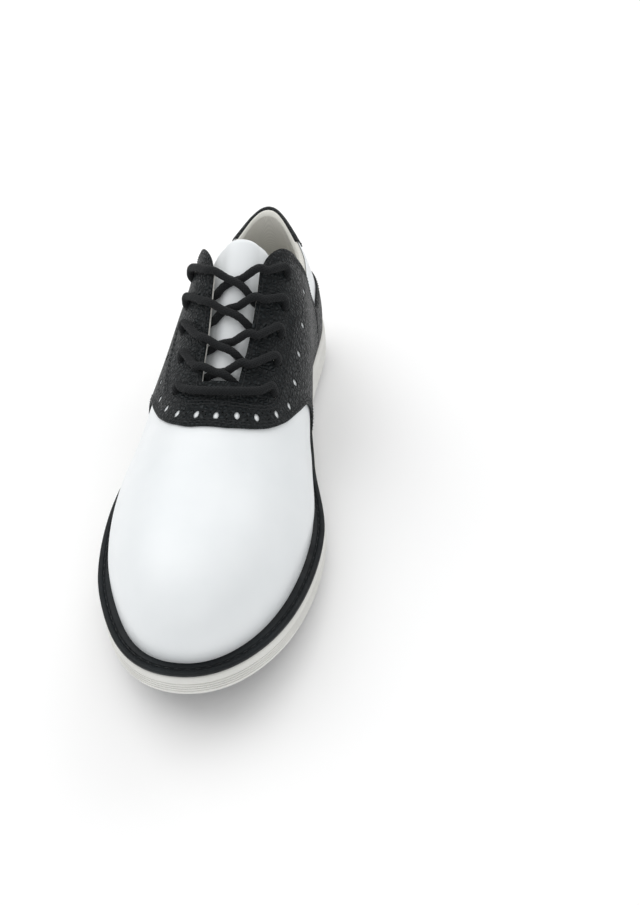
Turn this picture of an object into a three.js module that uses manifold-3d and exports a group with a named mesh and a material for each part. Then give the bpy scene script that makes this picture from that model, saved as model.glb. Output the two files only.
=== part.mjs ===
// A right-foot saddle golf shoe. Millimetres, +Z up, toe towards -Y, medial side towards +X,
// standing on the ground at z = 0.
import * as THREE from 'three';
import Module from 'manifold-3d';
import { mergeVertices } from 'three/addons/utils/BufferGeometryUtils.js';

// ---- driving dimensions ----

// Sole outline: distances run along the foot from the back of the heel.
const soleLength = 300;
const heelHalfWidth = 37.6;
const waistHalfWidth = 40.6;
const ballHalfWidth = 56.2;
const toeHalfWidth = 50.9;
const heelRoundFrom = 45;
// The shoe's own origin: the middle of its length and width, on the ground.
const originStation = 150;
const originShift = 3.1;
const toeRoundFrom = 200;
const toeSpring = 15.9;
const springFrom = 195;
const heelLift = 4;

// Heights of the sole layers at the edge of the sole.
const outsoleBottom = 2.6;
const outsoleThickness = 3.1;
const midsoleThickness = 13.7;
const weltThickness = 2.9;
const boardThickness = 2;
const footbedThickness = 3.5;
const seatGap = 0.3;
const layerGap = 0.4;

// Sole edges, measured inwards from the sole outline.
const outsoleInset = 4;
const midsoleBulge = 0.9;
const weltWidth = 12;
const weltBackStation = 100;

// Upper: layers are measured outwards from the last, the form the shoe is made on.
const vampThickness = 1.2;
const saddleThickness = 1.2;
const liningThickness = 1;
const foamThickness = 2.2;
const collarBackHeight = 66;
const collarSideHeight = 50;
const flapTopStation = 103.8;
const throatBottomStation = 172;
const throatTopHalfAngle = 14.5;
const throatBottomHalfAngle = 10;
const saddleFrontStation = 195.5;
const saddleOverlap = 14;
const tongueThickness = 4.5;
const tongueTopStation = 101.5;

// Lace and eyelets.
const laceDiameter = 4;
const laceSides = 8;
const eyeletClearance = 1.3;
const tipDiameter = 3.2;
const tipLength = 11;

// Cleats under the sole.
const cleatRadius = 10.5;
const cleatHubThickness = 1.7;
const cleatLegs = 6;
const cleatStemRadius = 3;
const stemClearance = 0.3;
const cleatClearance = 0.9;
const socketRadius = 6;
const socketDepth = 5;
const lugRadius = 3.2;

const wasm = await Module();
wasm.setup();

// ---- small helpers ----

const clamp = (x, low, high) => Math.min(high, Math.max(low, x));
const radians = (degrees) => (degrees * Math.PI) / 180;
const power = (x, e) => Math.sign(x) * Math.abs(x) ** e;

// A smooth curve through the given points that never overshoots them.
function curve(points) {
  const x = points.map((p) => p[0]);
  const y = points.map((p) => p[1]);
  const last = x.length - 1;
  const slope = [];
  for (let i = 0; i < last; i += 1) slope.push((y[i + 1] - y[i]) / (x[i + 1] - x[i]));
  const tangent = [slope[0]];
  for (let i = 1; i < last; i += 1) {
    const product = slope[i - 1] * slope[i];
    tangent.push(product <= 0 ? 0 : (2 * product) / (slope[i - 1] + slope[i]));
  }
  tangent.push(slope[last - 1]);
  return (value) => {
    const v = clamp(value, x[0], x[last]);
    let i = 0;
    while (i < last - 1 && v > x[i + 1]) i += 1;
    const h = x[i + 1] - x[i];
    const s = (v - x[i]) / h;
    const a = (2 * s ** 3 - 3 * s ** 2 + 1) * y[i] + (s ** 3 - 2 * s ** 2 + s) * h * tangent[i];
    const b = (3 * s ** 2 - 2 * s ** 3) * y[i + 1] + (s ** 3 - s ** 2) * h * tangent[i + 1];
    return a + b;
  };
}

// ---- the sole outline ----

const footCentre = curve([
  [0, -2], [45, -2], [105, -6.5], [157, -6.3], [205, -3], [245, -1.5], [278, 0], [300, 0],
]);
const centre = (u) => footCentre(u) + originShift;
const outlineHalf = curve([
  [0, heelHalfWidth], [45, heelHalfWidth + 0.2], [80, heelHalfWidth + 0.7], [105, waistHalfWidth],
  [157, (waistHalfWidth + ballHalfWidth) / 2 + 0.6], [205, ballHalfWidth], [245, ballHalfWidth - 1.2],
  [278, toeHalfWidth + 1.5], [300, toeHalfWidth],
]);
const roundness = 2.2;
const spring = (u) => toeSpring * clamp((u - springFrom) / (soleLength - springFrom), 0, 1) ** 2;
const springSlope = (u) => (2 * toeSpring * clamp(u - springFrom, 0, 200)) / (soleLength - springFrom) ** 2;
const lift = (u) => {
  const t = clamp((170 - u) / 120, 0, 1);
  return heelLift * t * t * (3 - 2 * t);
};

// Half the width at station u, with rounded ends, for an edge that lies `inset` inside the outline.
function endRounding(u, toeEnd, heelEnd) {
  const toe = clamp((u - toeRoundFrom) / (toeEnd - toeRoundFrom), 0, 1);
  const heel = clamp((heelRoundFrom - u) / (heelRoundFrom - heelEnd), 0, 1);
  return (1 - toe ** roundness) ** (1 / roundness) * (1 - heel ** roundness) ** (1 / roundness);
}
const soleHalf = (u, inset) => (outlineHalf(u) - inset) * endRounding(u, soleLength - inset, inset);

// Heights of the faces of each layer, without the toe spring and heel lift.
const midsoleBottom = outsoleBottom + outsoleThickness + seatGap;
const midsoleTop = midsoleBottom + midsoleThickness;
const weltBottom = midsoleTop + seatGap;
const weltTop = weltBottom + weltThickness;
const featherHeight = weltTop + seatGap;

// ---- the last: stations u run along the foot, angles go over it from medial to lateral ----

const ridge = curve([
  [0, 125], [45, 125], [75, 120], [95, 108], [105, 101], [118, 92.5], [140, 77], [160, 66.5], [180, 59],
  [200, 53], [225, 47.5], [250, 43.5], [270, 40.5], [290, 38],
]);
const featherInset = curve([[0, 6.5], [60, 6.5], [105, 5.5], [150, 6.5], [190, 9.3], [250, 10.3], [300, 10.8]]);
const skew = curve([[0, 0], [45, 2.5], [90, 6], [118, 6.9], [170, 6], [205, 2.5], [250, 1], [300, 0]]);
const narrowing = curve([[0, 0.5], [20, 0.44], [40, 0.33], [60, 0.24], [90, 0.06], [120, 0], [300, 0]]);
const sideFullness = curve([[0, 2.2], [60, 2.2], [120, 2.3], [150, 2.2], [180, 2.05], [230, 2.35], [289, 2.4]]);
const topFullness = curve([[0, 2.6], [60, 2.5], [120, 2.2], [150, 2.05], [180, 1.85], [230, 2.2], [289, 2.4]]);
const lastTip = soleLength - 9.5;
const lastBack = 7.5;
const toeDropFrom = 235;
const toeDropPower = 2.4;
const heelLean = 4.5;

const tipStation = (off) => lastTip + off;
const backStation = (off) => lastBack - off;

function lastSection(u, off) {
  const half = (outlineHalf(u) - featherInset(u) + off) * endRounding(u, tipStation(off), backStation(off));
  const drop = clamp((u - toeDropFrom) / (tipStation(off) - toeDropFrom), 0, 1);
  const height = (ridge(u) + off) * (1 - drop ** toeDropPower) ** (1 / toeDropPower);
  return { half, height };
}

// The point at station u and angle phi (0 medial edge, pi lateral edge), `off` outside the last.
function lastPoint(u, phi, off) {
  const { half, height } = lastSection(u, off);
  const c = Math.cos(phi);
  const s = Math.abs(Math.sin(phi));
  const h = height * s ** (2 / topFullness(u));
  const pinch = 1 - narrowing(u) * clamp(h / 60, 0, 1.4) ** 2;
  const v = centre(u) + half * power(c, 2 / sideFullness(u)) * pinch + skew(u) * clamp(h / 60, 0, 1.2);
  const lean = heelLean * clamp(h / 60, 0, 1.3) ** 2 * clamp(1 - u / 70, 0, 1);
  return new THREE.Vector3(v, originStation - u - lean, h + featherHeight + lift(u) + spring(u));
}

// The angle at which the last is h above its lower edge, on the side +1 medial or -1 lateral.
function angleAt(u, h, side, off) {
  const { height } = lastSection(u, off);
  const phi = Math.asin(clamp(h / Math.max(height, 1e-6), 0, 1) ** (topFullness(u) / 2));
  return side > 0 ? phi : Math.PI - phi;
}

// Positions w wrap around the heel: 0 at the back, +medial and -lateral, equal to u past the heel curve.
function wrapStation(w, off) {
  const a = Math.abs(w);
  if (a >= heelRoundFrom) return a;
  const t = ((heelRoundFrom - a) / heelRoundFrom) * (Math.PI / 2);
  return heelRoundFrom - (heelRoundFrom - backStation(off)) * Math.sin(t) ** (2 / roundness);
}
function wrapPoint(w, h, off) {
  const u = wrapStation(w, off);
  return lastPoint(u, angleAt(u, h, w < 0 ? -1 : 1, off), off);
}

// ---- solids from grids of points ----

function solidFrom(positions, indices) {
  const raw = new THREE.BufferGeometry();
  raw.setAttribute('position', new THREE.Float32BufferAttribute(positions, 3));
  raw.setIndex(indices);
  const merged = mergeVertices(raw, 2e-3);
  const index = merged.index.array;
  const kept = [];
  for (let i = 0; i < index.length; i += 3) {
    const [a, b, c] = [index[i], index[i + 1], index[i + 2]];
    if (a !== b && b !== c && c !== a) kept.push(a, b, c);
  }
  merged.setIndex(kept);
  return merged;
}

// A sheet of leather: patches of points on the last, thickened from `inner` to `outer`.
// Each patch is { rows, columns, at(s, t, off) } and neighbours share the points along a joint.
function sheet(patches, inner, outer) {
  const keys = new Map();
  const top = [];
  const bottom = [];
  const faces = [];
  for (const { rows, columns, at } of patches) {
    const grid = [];
    for (let i = 0; i <= rows; i += 1) {
      for (let j = 0; j <= columns; j += 1) {
        const p = at(i / rows, j / columns, outer);
        const q = at(i / rows, j / columns, inner);
        const key = p.toArray().map((x) => Math.round(x * 200)).join(',');
        if (!keys.has(key)) {
          keys.set(key, top.length);
          top.push(p);
          bottom.push(q);
        }
        grid.push(keys.get(key));
      }
    }
    for (let i = 0; i < rows; i += 1) {
      for (let j = 0; j < columns; j += 1) {
        const a = grid[i * (columns + 1) + j];
        const b = grid[(i + 1) * (columns + 1) + j];
        const c = grid[(i + 1) * (columns + 1) + j + 1];
        const d = grid[i * (columns + 1) + j + 1];
        for (const face of [[a, b, c], [a, c, d]]) {
          if (new Set(face).size === 3) faces.push(face);
        }
      }
    }
  }
  const count = top.length;
  const edges = new Set();
  for (const [a, b, c] of faces) {
    edges.add(`${a},${b}`);
    edges.add(`${b},${c}`);
    edges.add(`${c},${a}`);
  }
  const indices = [];
  for (const [a, b, c] of faces) {
    indices.push(a, b, c, a + count, c + count, b + count);
    for (const [from, to] of [[a, b], [b, c], [c, a]]) {
      if (!edges.has(`${to},${from}`)) indices.push(to, from, from + count, to, from + count, to + count);
    }
  }
  const positions = [...top, ...bottom].flatMap((p) => p.toArray());
  return solidFrom(positions, indices);
}

// A solid lofted through rings of points, closed at both ends.
function loft(rings) {
  const size = rings[0].length;
  const indices = [];
  for (let i = 0; i + 1 < rings.length; i += 1) {
    for (let j = 0; j < size; j += 1) {
      const a = i * size + j;
      const b = i * size + ((j + 1) % size);
      indices.push(a, b, b + size, a, b + size, a + size);
    }
  }
  const end = (rings.length - 1) * size;
  for (let j = 1; j + 1 < size; j += 1) {
    indices.push(0, j + 1, j);
    indices.push(end, end + j, end + j + 1);
  }
  return solidFrom(rings.flat().flatMap((p) => p.toArray()), indices);
}

// Stations between two ends, closer together near each rounded end.
function stations(from, to, count, roundFrom = true, roundTo = true) {
  const list = [];
  for (let i = 0; i <= count; i += 1) {
    let k = i / count;
    if (roundFrom && roundTo) k = (1 - Math.cos(Math.PI * k)) / 2;
    else if (roundTo) k = Math.sin((Math.PI / 2) * k);
    else if (roundFrom) k = 1 - Math.cos((Math.PI / 2) * k);
    list.push(from + (to - from) * k);
  }
  return list;
}

// Where an edge that lies `inset` inside the outline crosses the station u of the outline itself.
function edgeStation(u, inset) {
  if (u > toeRoundFrom) {
    const share = (u - toeRoundFrom) / (soleLength - toeRoundFrom);
    return toeRoundFrom + (soleLength - inset - toeRoundFrom) * share;
  }
  if (u < heelRoundFrom) return heelRoundFrom - ((heelRoundFrom - inset) * (heelRoundFrom - u)) / heelRoundFrom;
  return u;
}

// A plate across the foot: `edge` lists [inset, height, lifted] from the lower to the upper face.
function plate(list, edge, half = soleHalf, place = edgeStation) {
  return loft(list.map((u) => {
    const sides = edge(u).map(([inset, z, lifted]) => {
      const at = place(u, inset);
      const height = z + spring(at) + (lifted ? lift(at) : 0);
      const reach = half(at, inset);
      return [1, -1].map((side) => new THREE.Vector3(centre(at) + side * reach, originStation - at, height));
    });
    return [...sides.map(([, left]) => left).reverse(), ...sides.map(([right]) => right)];
  }));
}
const sameStation = (u) => u;

const toManifold = (geometry) => {
  const g = geometry.clone();
  g.deleteAttribute('normal');
  g.deleteAttribute('uv');
  const merged = mergeVertices(g, 1e-4);
  return new wasm.Manifold(new wasm.Mesh({
    numProp: 3,
    vertProperties: new Float32Array(merged.attributes.position.array),
    triVerts: new Uint32Array(merged.index.array),
  }));
};

function fromManifold(solid) {
  const mesh = solid.getMesh();
  const geometry = new THREE.BufferGeometry();
  const points = [];
  for (let i = 0; i < mesh.numVert; i += 1) {
    const start = i * mesh.numProp;
    points.push(...mesh.vertProperties.slice(start, start + 3));
  }
  geometry.setAttribute('position', new THREE.Float32BufferAttribute(points, 3));
  geometry.setIndex(Array.from(mesh.triVerts));
  return geometry;
}

function cut(geometry, tools) {
  let solid = toManifold(geometry);
  for (const tool of tools) solid = solid.subtract(toManifold(tool));
  return fromManifold(solid);
}

function join(geometries) {
  let solid = toManifold(geometries[0]);
  for (const other of geometries.slice(1)) solid = solid.add(toManifold(other));
  return fromManifold(solid);
}

const upright = (radius, low, high, sides = 20) => {
  const geometry = new THREE.CylinderGeometry(radius, radius, high - low, sides);
  geometry.rotateX(Math.PI / 2);
  geometry.translate(0, 0, (low + high) / 2);
  return geometry;
};

// ---- the object ----

const shoe = new THREE.Group();
function add(name, geometry, colour, roughness, metalness = 0, group = shoe) {
  const material = new THREE.MeshStandardMaterial({ color: colour, roughness, metalness });
  const mesh = new THREE.Mesh(geometry, material);
  mesh.name = name;
  group.add(mesh);
  return mesh;
}
const white = '#e9ebec';
const black = '#26282b';
const cream = '#e6e1d3';
const rubber = '#1d1e20';

// ---- sole ----

// Cleat places: station, distance from the centre line, name.
const cleatPlaces = [
  { name: 'toe', u: 236, v: -2 },
  { name: 'ball_medial', u: 190, v: 30 },
  { name: 'ball_lateral', u: 194, v: -36 },
  { name: 'waist_medial', u: 160, v: 23 },
  { name: 'waist_lateral', u: 164, v: -35 },
  { name: 'heel_medial', u: 42, v: 15 },
  { name: 'heel_lateral', u: 42, v: -19 },
];
const socketFlange = 1.5;
const flangeTop = outsoleBottom + outsoleThickness;
const flangeBottom = flangeTop - socketFlange;
const socketTop = midsoleBottom + socketDepth;
const pocketClearance = 0.4;

// The frame of one cleat: tilted to follow the toe spring.
function cleatFrame({ u, v }) {
  const group = new THREE.Group();
  group.position.set(v + originShift, originStation - u, spring(u));
  group.rotation.x = -Math.atan(springSlope(u));
  group.updateMatrix();
  return group;
}
const placed = (geometry, place) => geometry.clone().applyMatrix4(cleatFrame(place).matrix);

const outsoleTop = outsoleBottom + outsoleThickness;
const outsoleEdge = () => [[outsoleInset + 0.6, outsoleBottom], [outsoleInset, outsoleTop]];
const tipMargin = 0.04;
const outsoleStations = stations(tipMargin, soleLength - tipMargin, 40);
const flangeHole = cleatRadius + cleatClearance;

// Small lugs stand around the rim of the outsole, clear of the cleats.
const lugStations = [22, 68, 100, 140, 188, 230, 256, 276];
const lugMargin = 1.4;
const lugTaper = 0.7;
const lugRoot = 0.5;
function lugSolids() {
  const lugs = [];
  const lugInset = outsoleInset + lugRadius + lugMargin;
  for (const u of lugStations) {
    for (const side of [1, -1]) {
      const lug = new THREE.CylinderGeometry(lugRadius, lugRadius * lugTaper, outsoleBottom + lugRoot, 6);
      lug.rotateX(Math.PI / 2);
      const x = centre(u) + side * soleHalf(u, lugInset);
      lug.translate(x, originStation - u, spring(u) + (outsoleBottom + 1.3) / 2);
      lugs.push(lug);
    }
  }
  return lugs;
}
const outsolePlate = join([plate(outsoleStations, outsoleEdge), ...lugSolids()]);
const flangeHoles = cleatPlaces.map((place) => placed(upright(flangeHole, -1, midsoleBottom, 14), place));
add('outsole', cut(outsolePlate, flangeHoles), rubber, 0.6);

const stepStation = weltBackStation - 0.45;
const heelStep = (u) => (u < stepStation ? weltThickness + seatGap : 0);
const midsoleEdge = (u) => {
  const top = midsoleTop + heelStep(u);
  const low = midsoleBottom;
  return [
    [0.4, low], [-midsoleBulge, low + 2.4], [-midsoleBulge * 0.4, top - 3, true],
    [0.5, top - 0.8, true], [1.2, top, true],
  ];
};
const midsoleStations = [
  ...stations(tipMargin, stepStation - 0.15, 14, true, false),
  ...stations(stepStation + 0.15, soleLength - tipMargin, 24, false, true),
];
const pocket = upright(socketRadius + pocketClearance, 0, socketTop + pocketClearance, 10);
const pockets = cleatPlaces.map((place) => placed(pocket, place));
add('midsole', cut(plate(midsoleStations, midsoleEdge), pockets), cream, 0.75);

// Path around the forefoot from the medial waist over the toe to the lateral waist.
function weltPath(sideSteps, toeSteps) {
  const path = [];
  const step = (toeRoundFrom - weltBackStation) / sideSteps;
  for (let i = 0; i < sideSteps; i += 1) path.push({ u: weltBackStation + step * i });
  for (let i = 0; i <= toeSteps; i += 1) path.push({ angle: (Math.PI * i) / toeSteps });
  for (let i = sideSteps - 1; i >= 0; i -= 1) path.push({ u: path[i].u, side: -1 });
  return path;
}
function outlinePoint({ u, angle, side = 1 }, inset, z) {
  if (angle === undefined) {
    const v = centre(u) + side * (outlineHalf(u) - inset);
    return new THREE.Vector3(v, originStation - u, z + lift(u) + spring(u));
  }
  const station = toeRoundFrom + (soleLength - inset - toeRoundFrom) * Math.sin(angle) ** (2 / roundness);
  const v = centre(station) + (outlineHalf(station) - inset) * power(Math.cos(angle), 2 / roundness);
  return new THREE.Vector3(v, originStation - station, z + lift(station) + spring(station));
}
const weltEdge = [
  [0.7, weltBottom], [0, weltBottom + 0.8], [0, weltTop - 0.8],
  [0.7, weltTop], [weltWidth, weltTop], [weltWidth, weltBottom],
];
const weltRings = weltPath(8, 32).map((place) => weltEdge.map(([inset, z]) => outlinePoint(place, inset, z)));
add('welt', loft(weltRings), rubber, 0.5);

const fillerInset = weltWidth + seatGap;
const fillerEdge = () => [[fillerInset, weltBottom, true], [fillerInset, weltTop, true]];
const fillerStations = stations(weltBackStation, soleLength - fillerInset, 22, false, true);
add('cork_filler', plate(fillerStations, fillerEdge, soleHalf, sameStation), '#b08a5c', 0.9);

// Plates inside the upper follow the last, inside the lining.
const liningInner = -1.8;
const insideHalf = (u, off) => lastSection(u, off).half;
function insidePlate(low, high, clearance) {
  const off = liningInner - clearance;
  const list = stations(backStation(off), tipStation(off), 30);
  return plate(list, () => [[off, low, true], [off, high, true]], insideHalf, sameStation);
}
const boardTop = featherHeight + boardThickness;
const footbedBottom = boardTop + seatGap;
add('insole_board', insidePlate(featherHeight, boardTop, 0.5), '#c9b48c', 0.9);
add('footbed', insidePlate(footbedBottom, footbedBottom + footbedThickness, 0.8), '#d8d4c8', 0.9);

for (const place of cleatPlaces) {
  const frame = cleatFrame(place);
  shoe.add(frame);
  const flange = upright(cleatRadius, flangeBottom, flangeTop, 14);
  const boss = upright(socketRadius, flangeTop - 0.5, socketTop, 10);
  const bore = upright(cleatStemRadius + stemClearance, 0, socketTop - 1, 10);
  add(`socket_${place.name}`, cut(join([flange, boss]), [bore]), '#3a3c40', 0.5, 0, frame);
  const hubTop = flangeBottom - seatGap;
  const hubBottom = hubTop - cleatHubThickness;
  const hub = upright(cleatRadius * 0.72, hubBottom, hubTop, 12);
  const stem = upright(cleatStemRadius, hubTop - 0.5, socketTop - 1.6, 8);
  const parts = [hub, stem];
  for (let i = 0; i < cleatLegs; i += 1) {
    const legTop = hubTop;
    const leg = new THREE.BoxGeometry(cleatRadius * 0.5, 3.4, legTop);
    leg.translate(cleatRadius * 0.75, 0, legTop / 2);
    leg.rotateZ((2 * Math.PI * i) / cleatLegs);
    parts.push(leg);
  }
  add(`cleat_${place.name}`, join(parts), '#2b2d31', 0.45, 0, frame);
}

// ---- upper ----

// Distances of the layers from the last.
const backerInner = 2.4;
const backerOuter = backerInner + vampThickness;
const overlayInner = backerOuter + layerGap;
const overlayOuter = overlayInner + saddleThickness;
const padOuter = backerInner - layerGap;
const padInner = padOuter - foamThickness;
const liningOuter = padInner - layerGap;

// Front edge of the saddle over the foot, and its rear edge on each side, by angle in degrees.
const front = curve([
  [0, 140], [14, 143], [27.6, 150.5], [38, 164], [49.3, 179], [61, 189], [72, 193.5], [84, saddleFrontStation],
  [102, saddleFrontStation], [114, 192], [126, 184.5], [136, 174], [144.5, 163], [152, 156],
  [166, 150], [180, 148],
]);
const flapRear = curve([
  [0, 62], [8, 62], [10.5, 63], [15, 69], [19, 75], [25, 81], [34, flapTopStation - 16.8],
  [42.6, flapTopStation - 11.3], [53.8, flapTopStation - 4.8], [62, flapTopStation],
  [69, flapTopStation + 5.7], [73, flapTopStation + 10.2], [76, flapTopStation + 16.2],
]);
const backerRear = curve([
  [0, 73], [8.7, 76], [14.7, 82], [20, 86], [24.8, 87.5], [30, 88.5], [34, flapTopStation - 14.3],
  [42.6, flapTopStation - 9.3], [53.8, flapTopStation - 3.3], [62, flapTopStation + 1.2],
  [69, flapTopStation + 6.7], [73, flapTopStation + 11.2], [76, flapTopStation + 17.2],
]);
const throatCentre = 92;
const throatHalf = (u) => {
  const k = clamp((u - flapTopStation) / (throatBottomStation - flapTopStation), 0, 1);
  return throatTopHalfAngle + (throatBottomHalfAngle - throatTopHalfAngle) * k;
};
const medialThroat = (u) => throatCentre - throatHalf(u);
const lateralThroat = (u) => throatCentre + throatHalf(u);

// The saddle is two wings joined in front of the throat. Wing coordinates: g runs up from the sole
// edge to the throat, b runs forwards from the rear edge.
function wingAngle(u, g, side) {
  return side > 0 ? g * medialThroat(u) : 180 - g * (180 - lateralThroat(u));
}
const wingTop = 76;
const medialMiddle = 80;
const lateralMiddle = 104;
function saddlePatches(rear, frontEdge, steps) {
  const stationOn = (g, b, side) => {
    const angle = side > 0 ? g * medialMiddle : 180 - g * (180 - lateralMiddle);
    const back = rear(g * wingTop);
    return back + (frontEdge(angle) - back) * b;
  };
  const patches = [];
  for (const side of [1, -1]) {
    const frontAtThroat = frontEdge(side > 0 ? medialMiddle : lateralMiddle);
    const split = (throatBottomStation - rear(wingTop)) / (frontAtThroat - rear(wingTop));
    const wing = (low, high) => (s, t, off) => {
      const g = side > 0 ? s : 1 - s;
      const u = stationOn(g, low + (high - low) * t, side);
      return lastPoint(u, radians(wingAngle(u, g, side)), off);
    };
    patches.push({ rows: steps.girth, columns: steps.rear, at: wing(0, split) });
    patches.push({ rows: steps.girth, columns: steps.front, at: wing(split, 1) });
  }
  patches.push({
    rows: steps.middle,
    columns: steps.front,
    at: (s, t, off) => {
      const edge = medialMiddle + (lateralMiddle - medialMiddle) * s;
      const u = throatBottomStation + (frontEdge(edge) - throatBottomStation) * t;
      const angle = medialThroat(u) + (lateralThroat(u) - medialThroat(u)) * s;
      return lastPoint(u, radians(angle), off);
    },
  });
  return patches;
}

// Eyelets: station and angle of each, top row first.
const medialEyelets = [[113.5, 59], [127.5, 60], [140.5, 61.5], [154, 61.5], [169, 60.5]];
const lateralEyelets = [[110, 131], [125, 128], [138, 125.5], [155, 119.5], [172, 118]];
const eyelets = [...medialEyelets, ...lateralEyelets];
function eyeletTool([u, angle]) {
  const low = lastPoint(u, radians(angle), backerInner - 3);
  const high = lastPoint(u, radians(angle), overlayOuter + 3);
  const radius = laceDiameter / 2 + eyeletClearance;
  const tool = new THREE.CylinderGeometry(radius, radius, high.distanceTo(low), 10);
  const along = high.clone().sub(low).normalize();
  const turn = new THREE.Quaternion().setFromUnitVectors(new THREE.Vector3(0, 1, 0), along);
  tool.applyQuaternion(turn);
  tool.translate(...high.clone().add(low).multiplyScalar(0.5).toArray());
  return tool;
}
const eyeletTools = eyelets.map(eyeletTool);

const saddleSteps = { girth: 12, rear: 9, front: 3, middle: 5 };
const saddleSheet = sheet(saddlePatches(flapRear, front, saddleSteps), overlayInner, overlayOuter);
add('saddle', cut(saddleSheet, eyeletTools), black, 0.55);
const seamGap = 0.8;
const backerFront = (angle) => front(angle) - saddleOverlap - seamGap;
const backerSteps = { girth: 11, rear: 7, front: 1, middle: 4 };
const backerSheet = sheet(saddlePatches(backerRear, backerFront, backerSteps), backerInner, backerOuter);
add('saddle_backer', cut(backerSheet, eyeletTools), cream, 0.8);

// Sheets over the toe: angle across and k from the back edge to the tip.
const toeSheet = (backEdge, rows, columns) => [{
  rows,
  columns,
  at: (s, t, off) => {
    const angle = 180 * s;
    const back = backEdge(angle);
    const u = back + (tipStation(off) - back) * Math.sin((Math.PI / 2) * t);
    return lastPoint(u, Math.PI * s, off);
  },
}];
const vampBack = (angle) => front(angle) - saddleOverlap;
add('vamp', sheet(toeSheet(vampBack, 20, 14), backerInner, backerOuter), white, 0.4);
const forefootLiningBack = curve([
  [0, 121], [30, 135], [42, 165], [55, 187], [127, 187], [136, 168], [148, 138], [180, 121],
]);
add('vamp_lining', sheet(toeSheet(forefootLiningBack, 18, 10), 0, 0.7), cream, 0.9);
add('toe_puff', sheet(toeSheet(() => 256, 16, 8), 1, padOuter), '#cfc8b4', 0.8);

// Sheets around the heel: w from `from` to `to`, h between two edges.
const heelSheet = (from, to, low, high, rows, columns) => [{
  rows,
  columns,
  at: (s, t, off) => {
    const w = from + (to - from) * s;
    return wrapPoint(w, low(w) + (high(w) - low(w)) * (1 - t), off);
  },
}];
const collar = curve([
  [0, collarBackHeight], [10, collarBackHeight - 0.5], [22, collarBackHeight - 2.5], [33, collarBackHeight - 8],
  [45, collarSideHeight + 2], [60, collarSideHeight], [75, collarSideHeight + 2], [84, collarSideHeight + 6],
  [97, collarSideHeight + 18], [108, collarSideHeight + 34],
]);
const collarAt = (w) => collar(Math.abs(w));
const quarterFront = curve([[0, 72], [0.5, 74], [0.7, 78.5], [0.85, 81.5], [1, 83.5]]);
function quarter(side) {
  const patch = {
    rows: 16,
    columns: 8,
    at: (s, t, off) => {
      const b = 1 - t;
      const k = side > 0 ? s : 1 - s;
      const w = seatGap + (quarterFront(b) - seatGap) * k;
      return wrapPoint(side * w, b * collarAt(w), off);
    },
  };
  return sheet([patch], backerInner, backerOuter);
}
add('quarter_medial', quarter(1), white, 0.4);
add('quarter_lateral', quarter(-1), white, 0.4);

const counterTop = curve([[0, 30], [20, 30.5], [45, 33], [61.5, 30.5]]);
const counterReach = 61.4;
const counterAt = (w) => counterTop(Math.abs(w));
const counterSheet = heelSheet(-counterReach, counterReach, () => 0, counterAt, 24, 4);
add('heel_counter', sheet(counterSheet, overlayInner, overlayOuter), black, 0.55);
const tabReach = 35;
const tabAboveCollar = 0.6;
const tabBottom = curve([
  [0, 30.6], [5, 31.2], [9, 39], [14, 44], [22, 47.5], [30, 50], [tabReach, collarBackHeight - 10.5],
]);
const tabBottomAt = (w) => tabBottom(Math.abs(w));
const tabSheet = heelSheet(-tabReach, tabReach, tabBottomAt, (w) => collarAt(w) + tabAboveCollar, 20, 4);
add('heel_tab', sheet(tabSheet, overlayInner, overlayOuter), black, 0.55);

const stiffenerReach = 58;
const stiffenerBottom = 1;
const stiffenerTop = 32;
const stiffenerSheet = heelSheet(-stiffenerReach, stiffenerReach, () => stiffenerBottom, () => stiffenerTop, 24, 3);
add('counter_stiffener', sheet(stiffenerSheet, padInner, padOuter), '#cfc8b4', 0.8);
const foamReach = 84;
const foamBelowCollar = 1;
const foamBottom = stiffenerTop + seatGap;
const foamSheet = heelSheet(-foamReach, foamReach, () => foamBottom, (w) => collarAt(w) - foamBelowCollar, 28, 3);
add('collar_foam', sheet(foamSheet, padInner, padOuter), '#d9c98f', 0.95);
const liningReach = 118;
const liningRim = curve([[0, 64], [88, 60], [98, 55], [liningReach, 55]]);
const liningTop = (w) => Math.min(collarAt(w), liningRim(Math.abs(w)));
const liningSheet = heelSheet(-liningReach, liningReach, () => 0, liningTop, 36, 5);
add('quarter_lining', sheet(liningSheet, liningInner, liningOuter), cream, 0.9);

// Tongue: a padded strip under the flaps, fixed under the vamp in front of the throat.
const tongueBack = curve([
  [0, tongueTopStation], [0.5, tongueTopStation + 0.5], [0.8, tongueTopStation + 3], [1, tongueTopStation + 10],
]);
const tongueHalf = curve([[tongueTopStation, 38], [130, 36], [186, 26]]);
const tongueFront = 186;
const underFlap = -3.5;
const tongueBase = -0.4;
const tongueCrown = 1.8;
function tongueOff(u, angle, outer) {
  if (!outer) return underFlap - tongueThickness;
  const crown = tongueCrown * clamp(1 - ((angle - throatCentre) / throatHalf(u)) ** 2, 0, 1);
  const rise = clamp((u - throatBottomStation - 4) / 8, 0, 1);
  return (underFlap + crown) * (1 - rise) + tongueBase * rise;
}
function tonguePatch(offAt) {
  return [{
    rows: 12,
    columns: 12,
    at: (s, t, off) => {
      const across = 2 * s - 1;
      const back = tongueBack(Math.abs(across));
      const u = back + (tongueFront - back) * t;
      const angle = throatCentre + across * tongueHalf(u);
      return lastPoint(u, radians(angle), offAt(u, angle, off));
    },
  }];
}
add('tongue', sheet(tonguePatch((u, angle, off) => tongueOff(u, angle, off > 0.5)), 0, 1), white, 0.5);

// Lace. Each place is [station, angle, distance from the last]. Every strand lies on its own flap,
// crosses the throat, passes under the other flap and comes up through the next eyelet there.
const laceRadius = laceDiameter / 2;
const onTop = 8;
const below = -0.35;
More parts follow.
